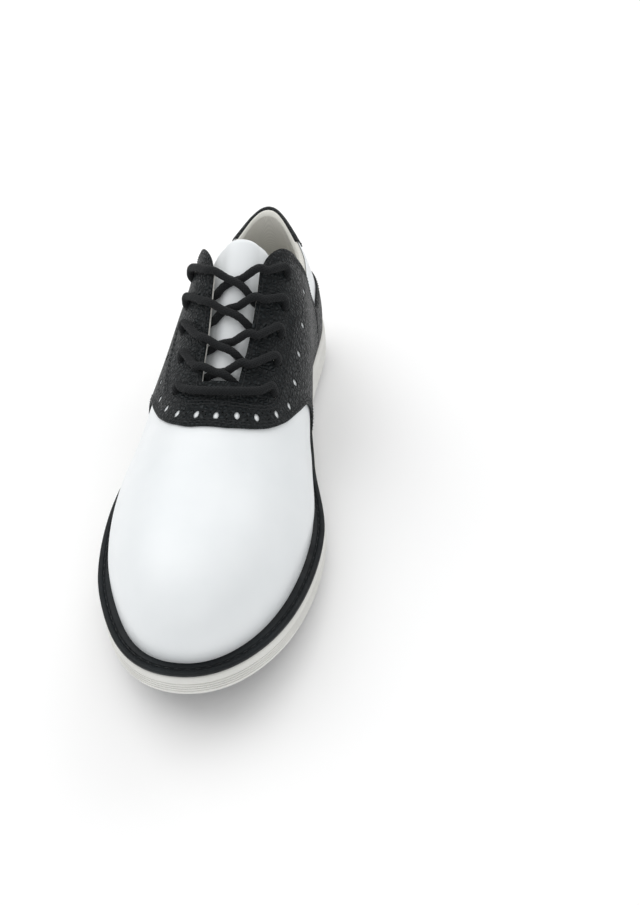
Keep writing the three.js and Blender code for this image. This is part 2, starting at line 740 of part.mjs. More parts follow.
// Places across the throat: [share of half the throat, distance from the last], from the top side.
const lowStrand = [
  [1.3, onTop], [1, 8.1], [0.84, 7.3], [0.6, 4.8], [0.35, 2.4], [0.2, 1.35],
  [0, 0.95], [-0.25, 0.85], [-0.5, 0.55], [-0.7, 0.2], [-1, -0.6], [-1.3, -0.65],
];
const highStrand = [
  [1.3, onTop], [1, 8.1], [0.8, 7.6], [0.6, 6.6], [0.4, 5.7], [0.25, 5.25],
  [0, 5.1], [-0.2, 4.5], [-0.4, 3.4], [-0.6, 1.9], [-0.8, 0.4], [-1, -0.5], [-1.3, -0.85],
];
// Stations of each strand at its own flap, in the middle and at the other flap, top row first.
const medialStrands = [
  [121.2, 123.2, 126.2], [133, 134.2, 137.5], [149.3, 149.8, 151.3], [163.8, 164.2, 165.6],
];
const lateralStrands = [
  [122, 126.2, 130], [135.5, 139.2, 140.8], [152, 155.6, 157], [166.3, 168.2, 169.2],
];
function crossing(from, to, strand, [near, middle, far]) {
  const direction = to[1] > from[1] ? -1 : 1;
  const places = strand.map(([share, off]) => {
    const k = clamp(share, -1.05, 1.3);
    const u = middle + ((near - far) / 2) * k + ((near + far) / 2 - middle) * k * k;
    return [u, throatCentre + direction * share * throatHalf(u), off];
  });
  const [first] = places;
  const last = places.at(-1);
  const overFlap = [(from[0] + first[0]) / 2, (from[1] + first[1]) / 2 - direction * 1.5, onTop];
  const underTheFlap = [(to[0] + last[0]) / 2, (to[1] + last[1]) / 2 + direction * 1.5, -0.6];
  return [overFlap, ...places, underTheFlap];
}
// Down through an eyelet from its top, or up when reversed.
function through([u, angle], towards) {
  return [
    [u, angle + towards * 3.4, onTop], [u, angle + towards * 0.4, 6.2], [u, angle, 3.8],
    [u, angle + towards * 0.6, 1.4], [u, angle + towards * 3.4, below],
  ];
}
const up = (eyelet, towards) => through(eyelet, towards).reverse();
const tail = ([u, angle], side) => [
  [u + 24, angle - side * 7.5, below], [u + 18, angle - side * 7.5, below], [u + 11, angle - side * 7, below],
  [u + 5, angle - side * 5, below - 0.2], [u + 1, angle - side * 1.2, 0.1], [u, angle, 3.2],
  [u, angle + side * 0.4, 6.2], [u, angle + side * 3.4, onTop],
];
const bar = [
  [174, 69.5, onTop], [177.8, 78, 8.1], [179.6, 87, 8.2], [179.8, 97, 8.2], [177.8, 106, 8.1], [175, 112, onTop],
];
const [m1, m2, m3, m4, m5] = medialEyelets;
const [l1, l2, l3, l4, l5] = lateralEyelets;
const lacePlaces = [
  ...tail(m1, 1),
  ...crossing(m1, l2, lowStrand, medialStrands[0]),
  ...up(l2, -1),
  ...crossing(l2, m3, highStrand, lateralStrands[1]),
  ...up(m3, 1),
  ...crossing(m3, l4, lowStrand, medialStrands[2]),
  ...up(l4, -1),
  ...crossing(l4, m5, highStrand, lateralStrands[3]),
  ...up(m5, 1),
  ...bar,
  ...through(l5, -1),
  ...crossing(m4, l5, lowStrand, medialStrands[3]).reverse(),
  ...through(m4, 1),
  ...crossing(l3, m4, highStrand, lateralStrands[2]).reverse(),
  ...through(l3, -1),
  ...crossing(m2, l3, lowStrand, medialStrands[1]).reverse(),
  ...through(m2, 1),
  ...crossing(l1, m2, highStrand, lateralStrands[0]).reverse(),
  ...tail(l1, -1).reverse(),
];
const laceRoute = lacePlaces.map(([u, angle, off]) => lastPoint(u, radians(angle), off));

// A path that steps exactly from point to point.
class RoutePath extends THREE.CatmullRomCurve3 {
  getPointAt(t, target) {
    return this.getPoint(t, target);
  }

  getTangentAt(t, target) {
    return this.getTangent(t, target);
  }
}
function cord(points, radius, sides) {
  const section = new THREE.Shape();
  for (let i = 0; i < sides; i += 1) {
    const a = (2 * Math.PI * i) / sides;
    if (i === 0) section.moveTo(radius, 0);
    else section.lineTo(radius * Math.cos(a), radius * Math.sin(a));
  }
  const path = new RoutePath(points, false, 'centripetal');
  const settings = { steps: points.length - 1, bevelEnabled: false, extrudePath: path };
  const geometry = new THREE.ExtrudeGeometry(section, settings);
  geometry.deleteAttribute('normal');
  geometry.deleteAttribute('uv');
  return mergeVertices(geometry, 1e-3);
}
add('lace', cord(laceRoute, laceRadius, laceSides), '#1f2023', 0.85);

// A hard tip beyond each end of the lace.
function tip(end, before) {
  const along = end.clone().sub(before).normalize();
  const from = end.clone().addScaledVector(along, seatGap);
  const geometry = new THREE.CylinderGeometry(tipDiameter / 2, tipDiameter / 2, tipLength, 10);
  geometry.applyQuaternion(new THREE.Quaternion().setFromUnitVectors(new THREE.Vector3(0, 1, 0), along));
  geometry.translate(...from.addScaledVector(along, tipLength / 2).toArray());
  return geometry;
}
add('lace_tip_medial', tip(laceRoute[0], laceRoute[1]), '#1a1b1d', 0.3);
add('lace_tip_lateral', tip(laceRoute.at(-1), laceRoute.at(-2)), '#1a1b1d', 0.3);

export default shoe;
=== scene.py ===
import bmesh
import bpy
import numpy as np
from mathutils import Matrix, Vector


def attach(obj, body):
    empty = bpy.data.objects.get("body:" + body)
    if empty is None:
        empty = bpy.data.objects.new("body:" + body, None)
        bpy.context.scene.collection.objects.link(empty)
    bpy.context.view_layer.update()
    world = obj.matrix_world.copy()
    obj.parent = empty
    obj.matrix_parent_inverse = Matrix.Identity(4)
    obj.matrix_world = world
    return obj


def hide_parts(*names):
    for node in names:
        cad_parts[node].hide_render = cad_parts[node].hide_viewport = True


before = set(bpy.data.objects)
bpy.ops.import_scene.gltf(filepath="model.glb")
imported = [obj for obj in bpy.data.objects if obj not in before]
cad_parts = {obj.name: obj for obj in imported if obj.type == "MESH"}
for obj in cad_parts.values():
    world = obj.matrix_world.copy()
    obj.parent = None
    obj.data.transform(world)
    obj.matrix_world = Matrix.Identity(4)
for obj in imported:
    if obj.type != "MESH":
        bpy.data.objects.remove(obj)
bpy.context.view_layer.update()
MM = 0.001


# ---------------------------------------------------------------- curves and the last of the CAD part
def curve(points):
    """Smooth monotone curve through (x, y) points."""
    p = np.array(points, float)
    x, y = p[:, 0], p[:, 1]
    h = np.diff(x)
    d = np.diff(y) / h
    m = np.zeros(len(x))
    m[0], m[-1] = d[0], d[-1]
    for i in range(1, len(x) - 1):
        m[i] = 0 if d[i - 1] * d[i] <= 0 else 2 * d[i - 1] * d[i] / (d[i - 1] + d[i])

    def f(t):
        t = np.clip(np.asarray(t, float), x[0], x[-1])
        i = np.clip(np.searchsorted(x, t) - 1, 0, len(x) - 2)
        s = (t - x[i]) / h[i]
        a = (2 * s**3 - 3 * s**2 + 1) * y[i] + (s**3 - 2 * s**2 + s) * h[i] * m[i]
        return a + (-2 * s**3 + 3 * s**2) * y[i + 1] + (s**3 - s**2) * h[i] * m[i + 1]

    return f


def smooth(a, b, x):
    """Rises smoothly from 0 to 1 between a and b."""
    t = np.clip((np.asarray(x, float) - a) / (b - a), 0, 1)
    return t * t * (3 - 2 * t)


SOLE, ORIGIN, SHIFT = 300.0, 150.0, 3.1
foot_centre = curve([(0, -2), (45, -2), (105, -6.5), (157, -6.3), (205, -3), (245, -1.5), (278, 0),
                     (300, 0)])
outline_half = curve([(0, 37.6), (45, 37.8), (80, 38.3), (105, 40.6), (157, 49.0), (205, 56.2),
                      (245, 55.0), (278, 52.4), (300, 50.9)])
HEEL, TOE, ROUND = 45.0, 200.0, 2.2


def centre(u):
    """Centre line of the shoe at a station."""
    return foot_centre(u) + SHIFT


def spring(u):
    """Rise of the toe above the ground."""
    return 15.9 * np.clip((u - 195) / 105, 0, 1) ** 2


def lift(u):
    """Rise of the heel over the forefoot."""
    return 4 * smooth(0, 120, 170 - np.asarray(u, float))


ridge = curve([(0, 125), (45, 125), (75, 120), (95, 108), (105, 101), (118, 92.5), (140, 77),
               (160, 66.5), (180, 59), (200, 53), (225, 47.5), (250, 43.5), (270, 40.5), (290, 38)])
feather_inset = curve([(0, 6.5), (60, 6.5), (105, 5.5), (150, 6.5), (190, 9.3), (250, 10.3),
                       (300, 10.8)])
skew = curve([(0, 0), (45, 2.5), (90, 6), (118, 6.9), (170, 6), (205, 2.5), (250, 1), (300, 0)])
narrowing = curve([(0, .5), (20, .44), (40, .33), (60, .24), (90, .06), (120, 0), (300, 0)])
side_full = curve([(0, 2.2), (60, 2.2), (120, 2.3), (150, 2.2), (180, 2.05), (230, 2.35),
                   (289, 2.4)])
top_full = curve([(0, 2.6), (60, 2.5), (120, 2.2), (150, 2.05), (180, 1.85), (230, 2.2),
                  (289, 2.4)])
FEATHER = 23.2
TIP, BACK = 290.5, 7.5


def rounding(u, toe_end, heel_end):
    """Closes the outline at toe and heel."""
    toe = np.clip((u - TOE) / (toe_end - TOE), 0, 1)
    heel = np.clip((HEEL - u) / (HEEL - heel_end), 0, 1)
    return (1 - toe**ROUND) ** (1 / ROUND) * (1 - heel**ROUND) ** (1 / ROUND)


def section(u, off):
    """Half width and height of the last at a station."""
    half = (outline_half(u) - feather_inset(u) + off) * rounding(u, TIP + off, BACK - off)
    drop = np.clip((u - 235) / (TIP + off - 235), 0, 1)
    return half, (ridge(u) + off) * (1 - drop**2.4) ** (1 / 2.4)


def on_last(u, phi, off):
    """Points in mm at station u, angle phi in radians, off outside the last."""
    u, phi, off = np.broadcast_arrays(np.asarray(u, float), np.asarray(phi, float),
                                      np.asarray(off, float))
    half, height = section(u, off)
    c, s = np.cos(phi), np.abs(np.sin(phi))
    h = height * s ** (2 / top_full(u))
    pinch = 1 - narrowing(u) * np.clip(h / 60, 0, 1.4) ** 2
    across = half * np.sign(c) * np.abs(c) ** (2 / side_full(u)) * pinch
    v = centre(u) + across + skew(u) * np.clip(h / 60, 0, 1.2)
    lean = 4.5 * np.clip(h / 60, 0, 1.3) ** 2 * np.clip(1 - u / 70, 0, 1)
    return np.stack([v, ORIGIN - u - lean, h + FEATHER + lift(u) + spring(u)], -1)


def angle_at(u, h, side, off):
    """Girth angle at a height."""
    height = section(u, off)[1]
    phi = np.arcsin(np.clip(h / np.maximum(height, 1e-6), 0, 1) ** (top_full(u) / 2))
    return np.where(np.asarray(side) > 0, phi, np.pi - phi)


def wrap_station(w, off):
    """Station of a wrap coordinate."""
    a = np.abs(w)
    t = (HEEL - np.minimum(a, HEEL)) / HEEL * np.pi / 2
    return np.where(a >= HEEL, a, HEEL - (HEEL - (BACK - off)) * np.sin(t) ** (2 / ROUND))


def on_heel(w, h, off):
    """Points in mm round the heel: w runs round the back, 0 at its middle, + on the medial side."""
    w, h, off = np.broadcast_arrays(np.asarray(w, float), np.asarray(h, float),
                                    np.asarray(off, float))
    u = wrap_station(w, off)
    return on_last(u, angle_at(u, h, np.where(w < 0, -1, 1), off), off)


# ---------------------------------------------------------------- mesh helpers
def mesh_object(name, verts, faces, mats, face_mats=None, attrs=None, smooth_angle=40):
    """Mesh from vertices in millimetres, with one or more materials and point attributes."""
    me = bpy.data.meshes.new(name)
    verts = np.asarray(verts, float) * MM
    me.from_pydata(verts.tolist(), [], [tuple(int(i) for i in f) for f in faces])
    for m in mats if isinstance(mats, (list, tuple)) else [mats]:
        me.materials.append(m)
    if face_mats is not None:
        me.polygons.foreach_set("material_index", np.asarray(face_mats, np.int32))
    for key, values in (attrs or {}).items():
        a = me.attributes.new(key, "FLOAT", "POINT")
        a.data.foreach_set("value", np.asarray(values, np.float32))
    me.polygons.foreach_set("use_smooth", np.ones(len(me.polygons), bool))
    me.validate()
    if smooth_angle is not None:
        me.set_sharp_from_angle(angle=np.radians(smooth_angle))
    ob = bpy.data.objects.new(name, me)
    bpy.context.scene.collection.objects.link(ob)
    return ob


def grid_faces(rows, cols, start=0, closed=False):
    """Quads of a grid of rows by cols cells, from vertex start on."""
    i = np.arange(rows)[:, None]
    j = np.arange(cols)[None, :]
    n = cols if closed else cols + 1
    a = start + i * n + j
    b = start + i * n + (j + 1) % n
    c = start + (i + 1) * n + (j + 1) % n
    d = start + (i + 1) * n + j
    return np.stack([a, d, c, b], -1).reshape(-1, 4)


def two_sided(front_faces, n):
    """Faces of a sheet whose back repeats the front n vertices later, and how many are its front."""
    edges = set()
    for q in front_faces:
        for k in range(4):
            edges.add((q[k - 1], q[k]))
    walls = [(b, a, a + n, b + n) for a, b in edges if (b, a) not in edges]
    fronts = [tuple(q) for q in front_faces]
    return fronts + [tuple(x + n for x in q[::-1]) for q in front_faces] + walls, len(fronts)


def sheet_data(patches, inner, outer, decimals=2):
    """A thick sheet: patches of (rows, cols, at(s, t, off)); neighbours share the points along a joint."""
    tops, bottoms, faces, start = [], [], [], 0
    for rows, cols, at in patches:
        s, t = np.meshgrid(np.linspace(0, 1, rows + 1), np.linspace(0, 1, cols + 1), indexing="ij")
        tops.append(at(s, t, outer).reshape(-1, 3))
        bottoms.append(at(s, t, inner).reshape(-1, 3))
        faces.append(grid_faces(rows, cols, start)[:, ::-1])
        start += (rows + 1) * (cols + 1)
    top, bottom, faces = np.concatenate(tops), np.concatenate(bottoms), np.concatenate(faces)
    _, first, back = np.unique(np.round(top, decimals), axis=0, return_index=True,
                                  return_inverse=True)
    back = back.reshape(-1)
    top, bottom, faces = top[first], bottom[first], back[faces]
    out, count = [], len(top)
    for f in faces:
        g = [f[k] for k in range(4) if f[k] != f[k - 1]]
        if len(set(g)) >= 3:
            out.append(g)
    edges = {(g[k - 1], g[k]) for g in out for k in range(len(g))}
    walls = [(b, a, a + count, b + count) for a, b in edges if (b, a) not in edges]
    under = [[k + count for k in reversed(g)] for g in out]
    return np.concatenate([top, bottom]), out + under + walls, len(out)


def bevel(ob, width=0.35, segments=2, angle=50):
    """Rounds the edges sharper than the angle."""
    m = ob.modifiers.new("edge", "BEVEL")
    m.width, m.segments = width * MM, segments
    m.limit_method, m.angle_limit = "ANGLE", np.radians(angle)
    m.harden_normals = False
    return ob


def bake_modifiers(ob):
    """Applies the modifiers of ob to its mesh."""
    dg = bpy.context.evaluated_depsgraph_get()
    me = bpy.data.meshes.new_from_object(ob.evaluated_get(dg))
    ob.modifiers.clear()
    ob.data = me
    return ob


def done(ob, body="shoe", nodes=()):
    """Hands a finished piece to the frame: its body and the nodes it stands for."""
    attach(ob, body)
    if nodes:
        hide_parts(*nodes)
    return ob


def tube(points, radius, sides=16, caps=True, scale=None):
    """Vertices and faces of a tube along points; scale multiplies the radius by ring and side."""
    p = np.asarray(points, float)
    t = np.gradient(p, axis=0)
    t /= np.linalg.norm(t, axis=1)[:, None]
    n = np.zeros_like(p)
    n[0] = np.cross(t[0], [0.3, 0.5, 0.81])
    n[0] /= np.linalg.norm(n[0])
    for i in range(1, len(p)):
        v = n[i - 1] - t[i] * (n[i - 1] @ t[i])
        n[i] = v / np.linalg.norm(v)
    b = np.cross(t, n)
    a = np.linspace(0, 2 * np.pi, sides, endpoint=False)
    r = radius * (np.ones((len(p), sides)) if scale is None else scale)
    round_it = np.cos(a)[None, :, None] * n[:, None] + np.sin(a)[None, :, None] * b[:, None]
    ring = p[:, None] + r[..., None] * round_it
    verts = ring.reshape(-1, 3)
    faces = [tuple(f) for f in grid_faces(len(p) - 1, sides, 0, True)[:, ::-1]]
    if caps:
        faces += [tuple(range(sides))[::-1], tuple((len(p) - 1) * sides + k for k in range(sides))]
    return verts, faces


def resample(points, step):
    """Points at an even step along a path."""
    p = np.asarray(points, float)
    d = np.r_[0, np.cumsum(np.linalg.norm(np.diff(p, axis=0), axis=1))]
    n = max(2, int(round(d[-1] / step)) + 1)
    s = np.linspace(0, d[-1], n)
    return np.stack([np.interp(s, d, p[:, k]) for k in range(3)], -1)


def spline(points, per=12):
    """Centripetal Catmull-Rom through points."""
    p = np.asarray(points, float)
    p = np.vstack([2 * p[0] - p[1], p, 2 * p[-1] - p[-2]])
    out = []
    for i in range(1, len(p) - 2):
        q = p[i - 1:i + 3]
        t = np.r_[0, np.cumsum(np.sqrt(np.linalg.norm(np.diff(q, axis=0), axis=1)) + 1e-9)]
        x = np.linspace(t[1], t[2], per, endpoint=False)[:, None]
        a1 = (t[1] - x) / (t[1] - t[0]) * q[0] + (x - t[0]) / (t[1] - t[0]) * q[1]
        a2 = (t[2] - x) / (t[2] - t[1]) * q[1] + (x - t[1]) / (t[2] - t[1]) * q[2]
        a3 = (t[3] - x) / (t[3] - t[2]) * q[2] + (x - t[2]) / (t[3] - t[2]) * q[3]
        b1 = (t[2] - x) / (t[2] - t[0]) * a1 + (x - t[0]) / (t[2] - t[0]) * a2
        b2 = (t[3] - x) / (t[3] - t[1]) * a2 + (x - t[1]) / (t[3] - t[1]) * a3
        out.append((t[2] - x) / (t[2] - t[1]) * b1 + (x - t[1]) / (t[2] - t[1]) * b2)
    return np.vstack(out + [p[-2:-1]])


# ---------------------------------------------------------------- materials
def node(nt, kind, **values):
    """A node with its settings."""
    n = nt.nodes.new(kind)
    for k, v in values.items():
        if hasattr(n, k):
            setattr(n, k, v)
        else:
            n.inputs[k.replace("_", " ")].default_value = v
    return n


def material(name, colour, rough, build=None, metallic=0.0, coat=0.0, sheen=0.0, specular=0.5):
    """A principled material whose detail build adds."""
    m = bpy.data.materials.new(name)
    m.use_nodes = True
    nt = m.node_tree
    b = nt.nodes["Principled BSDF"]
    b.inputs["Base Color"].default_value = (*colour, 1)
    b.inputs["Roughness"].default_value = rough
    b.inputs["Metallic"].default_value = metallic
    b.inputs["Coat Weight"].default_value = coat
    b.inputs["Coat Roughness"].default_value = 0.3
    b.inputs["Sheen Weight"].default_value = sheen
    b.inputs["Specular IOR Level"].default_value = specular
    if build:
        build(nt, b)
    return m


def coords(nt, scale=(1, 1, 1)):
    """Object coordinates."""
    t = nt.nodes.new("ShaderNodeTexCoord")
    s = nt.nodes.new("ShaderNodeMapping")
    s.inputs["Scale"].default_value = scale
    nt.links.new(t.outputs["Object"], s.inputs["Vector"])
    return s.outputs["Vector"]


def noise(nt, vec, scale, detail=3, rough=0.5):
    """Noise texture value."""
    n = nt.nodes.new("ShaderNodeTexNoise")
    n.inputs["Scale"].default_value = scale
    n.inputs["Detail"].default_value = detail
    n.inputs["Roughness"].default_value = rough
    nt.links.new(vec, n.inputs["Vector"])
    return n.outputs["Fac"]


def ramp(nt, fac, stops):
    """Colour by position of fac."""
    r = nt.nodes.new("ShaderNodeValToRGB")
    e = r.color_ramp.elements
    e[0].position, e[0].color = stops[0][0], (*stops[0][1], 1)
    e[1].position, e[1].color = stops[1][0], (*stops[1][1], 1)
    for pos, col in stops[2:]:
        x = e.new(pos)
        x.color = (*col, 1)
    nt.links.new(fac, r.inputs["Fac"])
    return r.outputs["Color"]


def math(nt, op, a, b=None, clamp=False):
    """One arithmetic node on values or sockets."""
    n = nt.nodes.new("ShaderNodeMath")
    n.operation, n.use_clamp = op, clamp
    for k, v in enumerate((a, b)):
        if v is None:
            continue
        if isinstance(v, (int, float)):
            n.inputs[k].default_value = v
        else:
            nt.links.new(v, n.inputs[k])
    return n.outputs[0]


def bump(nt, b, height, strength, distance):
    """Links a height to the normal."""
    n = nt.nodes.new("ShaderNodeBump")
    n.inputs["Strength"].default_value = strength
    n.inputs["Distance"].default_value = distance
    nt.links.new(height, n.inputs["Height"])
    nt.links.new(n.outputs["Normal"], b.inputs["Normal"])
    return n


def grey(v):
    return (v, v, v)


def white_leather(nt, b):
    """Smooth white leather with fine pores."""
    v = coords(nt)
    fine = nt.nodes.new("ShaderNodeTexVoronoi")
    fine.feature = "DISTANCE_TO_EDGE"
    fine.inputs["Scale"].default_value = 1500
    nt.links.new(v, fine.inputs["Vector"])
    broad = noise(nt, v, 28, 3)
    tint = ramp(nt, broad, [(0.3, (0.775, 0.805, 0.820)), (0.75, (0.825, 0.850, 0.862))])
    nt.links.new(tint, b.inputs["Base Color"])
    r = ramp(nt, noise(nt, v, 90, 4), [(0.35, grey(0.30)), (0.7, grey(0.42))])
    nt.links.new(r, b.inputs["Roughness"])
    h = math(nt, "ADD", math(nt, "MULTIPLY", math(nt, "MINIMUM", fine.outputs["Distance"], 0.12),
                             1.2),
             math(nt, "MULTIPLY", noise(nt, v, 55, 4), 0.9))
    bump(nt, b, h, 0.22, 0.00035)


def black_leather(nt, b):
    """Pebbled black leather: cells of uneven size, with painted shade darkening the valleys between them.
    """
    v = coords(nt)
    warp = nt.nodes.new("ShaderNodeTexNoise")
    warp.inputs["Scale"].default_value = 190
    warp.inputs["Detail"].default_value = 2
    nt.links.new(v, warp.inputs["Vector"])
    mix = nt.nodes.new("ShaderNodeVectorMath")
    mix.operation = "MULTIPLY_ADD"
    nt.links.new(warp.outputs["Color"], mix.inputs[0])
    mix.inputs[1].default_value = (0.0022, 0.0022, 0.0022)
    nt.links.new(v, mix.inputs[2])
    cells = nt.nodes.new("ShaderNodeTexVoronoi")
    cells.feature = "SMOOTH_F1"
    cells.inputs["Scale"].default_value = 480
    cells.inputs["Smoothness"].default_value = 0.6
    nt.links.new(mix.outputs["Vector"], cells.inputs["Vector"])
    edge = nt.nodes.new("ShaderNodeTexVoronoi")
    edge.feature = "DISTANCE_TO_EDGE"
    edge.inputs["Scale"].default_value = 480
    nt.links.new(mix.outputs["Vector"], edge.inputs["Vector"])
    # Painted shade: the colour darkens towards the cell edges, in the valleys of the bump.
    col = ramp(nt, edge.outputs["Distance"], [(0.0, (0.0018, 0.0030, 0.0036)),
                                              (0.30, (0.0085, 0.0125, 0.0145))])
    nt.links.new(col, b.inputs["Base Color"])
    r = ramp(nt, cells.outputs["Distance"], [(0.1, grey(0.34)), (0.7, grey(0.58))])
    nt.links.new(r, b.inputs["Roughness"])
    h = math(nt, "ADD", math(nt, "MULTIPLY", math(nt, "MINIMUM", edge.outputs["Distance"], 0.35),
                             2.2),
             math(nt, "MULTIPLY", noise(nt, v, 420, 3), 0.5))
    bump(nt, b, h, 0.95, 0.00085)


def woven(scale, colour, depth=0.0002):
    """Woven cloth: fine threads along each axis, with painted shade between them."""
    def build(nt, b):
        v = coords(nt)
        parts = []
        for axis in ("X", "Y", "Z"):
            w = nt.nodes.new("ShaderNodeTexWave")
            w.bands_direction = axis
            w.inputs["Scale"].default_value = scale
            w.inputs["Distortion"].default_value = 1.2
            w.inputs["Detail"].default_value = 2
            nt.links.new(v, w.inputs["Vector"])
            parts.append(w.outputs["Fac"])
        h = math(nt, "ADD", math(nt, "ADD", parts[0], parts[1]), parts[2])
        # Painted shade: the colour falls to 0.82 of itself where the threads are low; the noise after it
        # is random tone.
        c = ramp(nt, math(nt, "MULTIPLY", h, 0.33), [(0.2, tuple(x * 0.82 for x in colour)),
                                                     (0.8, colour)])
        mixn = nt.nodes.new("ShaderNodeMix")
        mixn.data_type, mixn.blend_type = "RGBA", "MULTIPLY"
        mixn.inputs["Factor"].default_value = 1
        nt.links.new(c, mixn.inputs[6])
        nt.links.new(ramp(nt, noise(nt, v, 35, 4), [(0.3, grey(0.88)), (0.7, grey(1.0))]),
                     mixn.inputs[7])
        nt.links.new(mixn.outputs[2], b.inputs["Base Color"])
        bump(nt, b, h, 0.5, depth)
    return build


def moulded(colour, worn, scale=900, depth=0.00015, strength=0.3, rough=(0.5, 0.7)):
    """Moulded rubber, foam or plastic with a fine grain."""
    def build(nt, b):
        v = coords(nt)
        c = ramp(nt, noise(nt, v, 45, 5, 0.6), [(0.3, colour), (0.75, worn)])
        nt.links.new(c, b.inputs["Base Color"])
        nt.links.new(ramp(nt, noise(nt, v, 160, 3), [(0.3, grey(rough[0])), (0.7, grey(rough[1]))]),
                     b.inputs["Roughness"])
        h = math(nt, "ADD", noise(nt, v, scale, 2), math(nt, "MULTIPLY", noise(nt, v, 120, 3), 0.6))
        bump(nt, b, h, strength, depth)
    return build


WHITE = material("white_leather", (0.84, 0.85, 0.86), 0.36, white_leather, coat=0.12, specular=0.45)
BLACK = material("black_leather", (0.01, 0.012, 0.014), 0.5, black_leather, specular=0.24)
LINING = material("lining_fabric", (0.72, 0.70, 0.61), 0.9, woven(700, (0.90, 0.89, 0.83)),
                  sheen=0.1)
MIDSOLE = material("midsole_foam", (0.72, 0.71, 0.66), 0.7,
                   moulded((0.68, 0.68, 0.65), (0.76, 0.76, 0.73), 1100, 0.00012, 0.35, (0.6, 0.8)))
RUBBER = material("black_rubber", (0.02, 0.022, 0.025), 0.5,
                  moulded((0.0045, 0.0060, 0.0070), (0.009, 0.0125, 0.0150), 900, 0.0001, 0.35,
                          (0.42, 0.62)), specular=0.22)
CLEAT = material("cleat_plastic", (0.03, 0.031, 0.035), 0.45,
                 moulded((0.010, 0.011, 0.012), (0.024, 0.026, 0.028), 700, 0.00008, 0.3,
                         (0.35, 0.55)), specular=0.4)
THREAD_B = material("thread_black", (0.02, 0.02, 0.022), 0.7,
                    moulded((0.008, 0.009, 0.010), (0.022, 0.025, 0.027), 3000, 0.0001, 0.5,
                            (0.5, 0.7)), specular=0.3)
BOARD = material("stiffener", (0.75, 0.74, 0.71), 0.85,
                 moulded((0.66, 0.65, 0.61), (0.80, 0.79, 0.76), 600, 0.0002, 0.5, (0.75, 0.95)))
CORK = material("cork", (0.45, 0.29, 0.15), 0.9, moulded((0.24, 0.14, 0.07), (0.52, 0.36, 0.20),
                                                         350, 0.0004, 0.8, (0.8, 0.95)))
FOOTBED = material("footbed_fabric", (0.55, 0.54, 0.50), 0.9,
                   woven(520, (0.60, 0.59, 0.54), 0.00025), sheen=0.2)
TIPS = material("tip_plastic", (0.012, 0.012, 0.014), 0.25,
                moulded((0.010, 0.010, 0.012), (0.02, 0.02, 0.022), 500, 0.00005, 0.2, (0.2, 0.3)))
# Dark material for the walls of the punched holes, and for the painted shade along the seam lines.
HOLE_AND_SEAM_SHADE = material("punch_hole_and_seam_shade", (0.01, 0.011, 0.012), 0.8,
                moulded((0.006, 0.007, 0.008), (0.016, 0.017, 0.018), 900, 0.0001, 0.3, (0.7, 0.9)))

# ---------------------------------------------------------------- sheets of the upper
BACK_IN, BACK_OUT, OVER_IN, OVER_OUT = 2.4, 3.6, 4.0, 5.2
front = curve([(0, 140), (14, 143), (27.6, 150.5), (38, 164), (49.3, 179), (61, 189), (72, 193.5),
               (84, 195.5), (102, 195.5), (114, 192), (126, 184.5), (136, 174), (144.5, 163),
               (152, 156), (166, 150), (180, 148)])
FLAP_TOP = 103.8
flap_rear = curve([(0, 62), (8, 62), (10.5, 63), (15, 69), (19, 75), (25, 81), (34, 87),
                   (42.6, 92.5), (53.8, 99), (62, 103.8), (69, 109.5), (73, 114), (76, 120)])
backer_rear = curve([(0, 73), (8.7, 76), (14.7, 82), (20, 86), (24.8, 87.5), (30, 88.5), (34, 89.5),
                     (42.6, 94.5), (53.8, 100.5), (62, 105), (69, 110.5), (73, 115), (76, 121)])
MIDDLE = 92.0


def throat_half(u):
    """Half the throat, in degrees."""
    return 14.5 - 4.5 * np.clip((np.asarray(u, float) - FLAP_TOP) / (172 - FLAP_TOP), 0, 1)


def wing_angle(u, g, side):
    """Girth angle at g from the sole edge to the throat."""
    return g * (MIDDLE - throat_half(u)) if side > 0 else 180 - g * (180 - MIDDLE - throat_half(u))


def wing_place(g, b, side, rear=flap_rear, edge=front):
    """Station and angle at g from the sole edge up to the throat, b from the rear edge to the front."""
    angle = g * 80 if side > 0 else 180 - g * 76
    back = rear(g * 76)
    u = back + (edge(angle) - back) * b
    return u, wing_angle(u, g, side)


def saddle_patches(rear, edge, girth, back_cols, front_cols, middle):
    """The saddle in patches: the front band, and a wing on each side."""
    patches = []
    for side in (1, -1):
        split = (172 - rear(76)) / (edge(80 if side > 0 else 104) - rear(76))

        def wing(low, high, side=side):
            def at(s, t, off):
                g = s if side > 0 else 1 - s
                u, a = wing_place(g, low + (high - low) * t, side, rear, edge)
                return on_last(u, np.radians(a), off)
            return at
        patches.append((girth, back_cols, wing(0, split)))
        patches.append((girth, front_cols, wing(split, 1)))

    def centre_at(s, t, off):
        u = 172 + (edge(80 + 24 * s) - 172) * t
        h = throat_half(u)
        return on_last(u, np.radians(MIDDLE - h + 2 * h * s), off)
    patches.append((middle, front_cols, centre_at))
    return patches


def toe_patch(back_edge, rows, cols, swell=0.0):
    """From the back edge to the tip; swell is how far the medial side stands out over the welt."""
    def at(s, t, off):
        a = 180 * s
        back = back_edge(a)
        u = back + (TIP + off - back) * np.sin(np.pi / 2 * t)
        out = swell * smooth(150, 172, u) * (1 - smooth(205, 240, u))
        out = out * smooth(1, 16, a) * (1 - smooth(30, 62, a))
        return on_last(u, np.radians(a), off + out)
    return [(rows, cols, at)]


def collar(w):
    """Height of the collar round the heel."""
    return collar_curve(np.abs(w))


collar_curve = curve([(0, 66), (10, 65.5), (22, 63.5), (33, 58), (45, 52), (60, 50), (75, 52),
                      (84, 56), (97, 68), (108, 84)])
quarter_front = curve([(0, 72), (.5, 74), (.7, 78.5), (.85, 81.5), (1, 83.5)])
counter_top = curve([(0, 30), (20, 30.5), (45, 33), (61.5, 30.5)])
tab_bottom = curve([(0, 30.6), (5, 31.2), (9, 39), (14, 44), (22, 47.5), (30, 50), (35, 55.5)])
lining_rim = curve([(0, 64), (88, 60), (98, 55), (118, 55)])


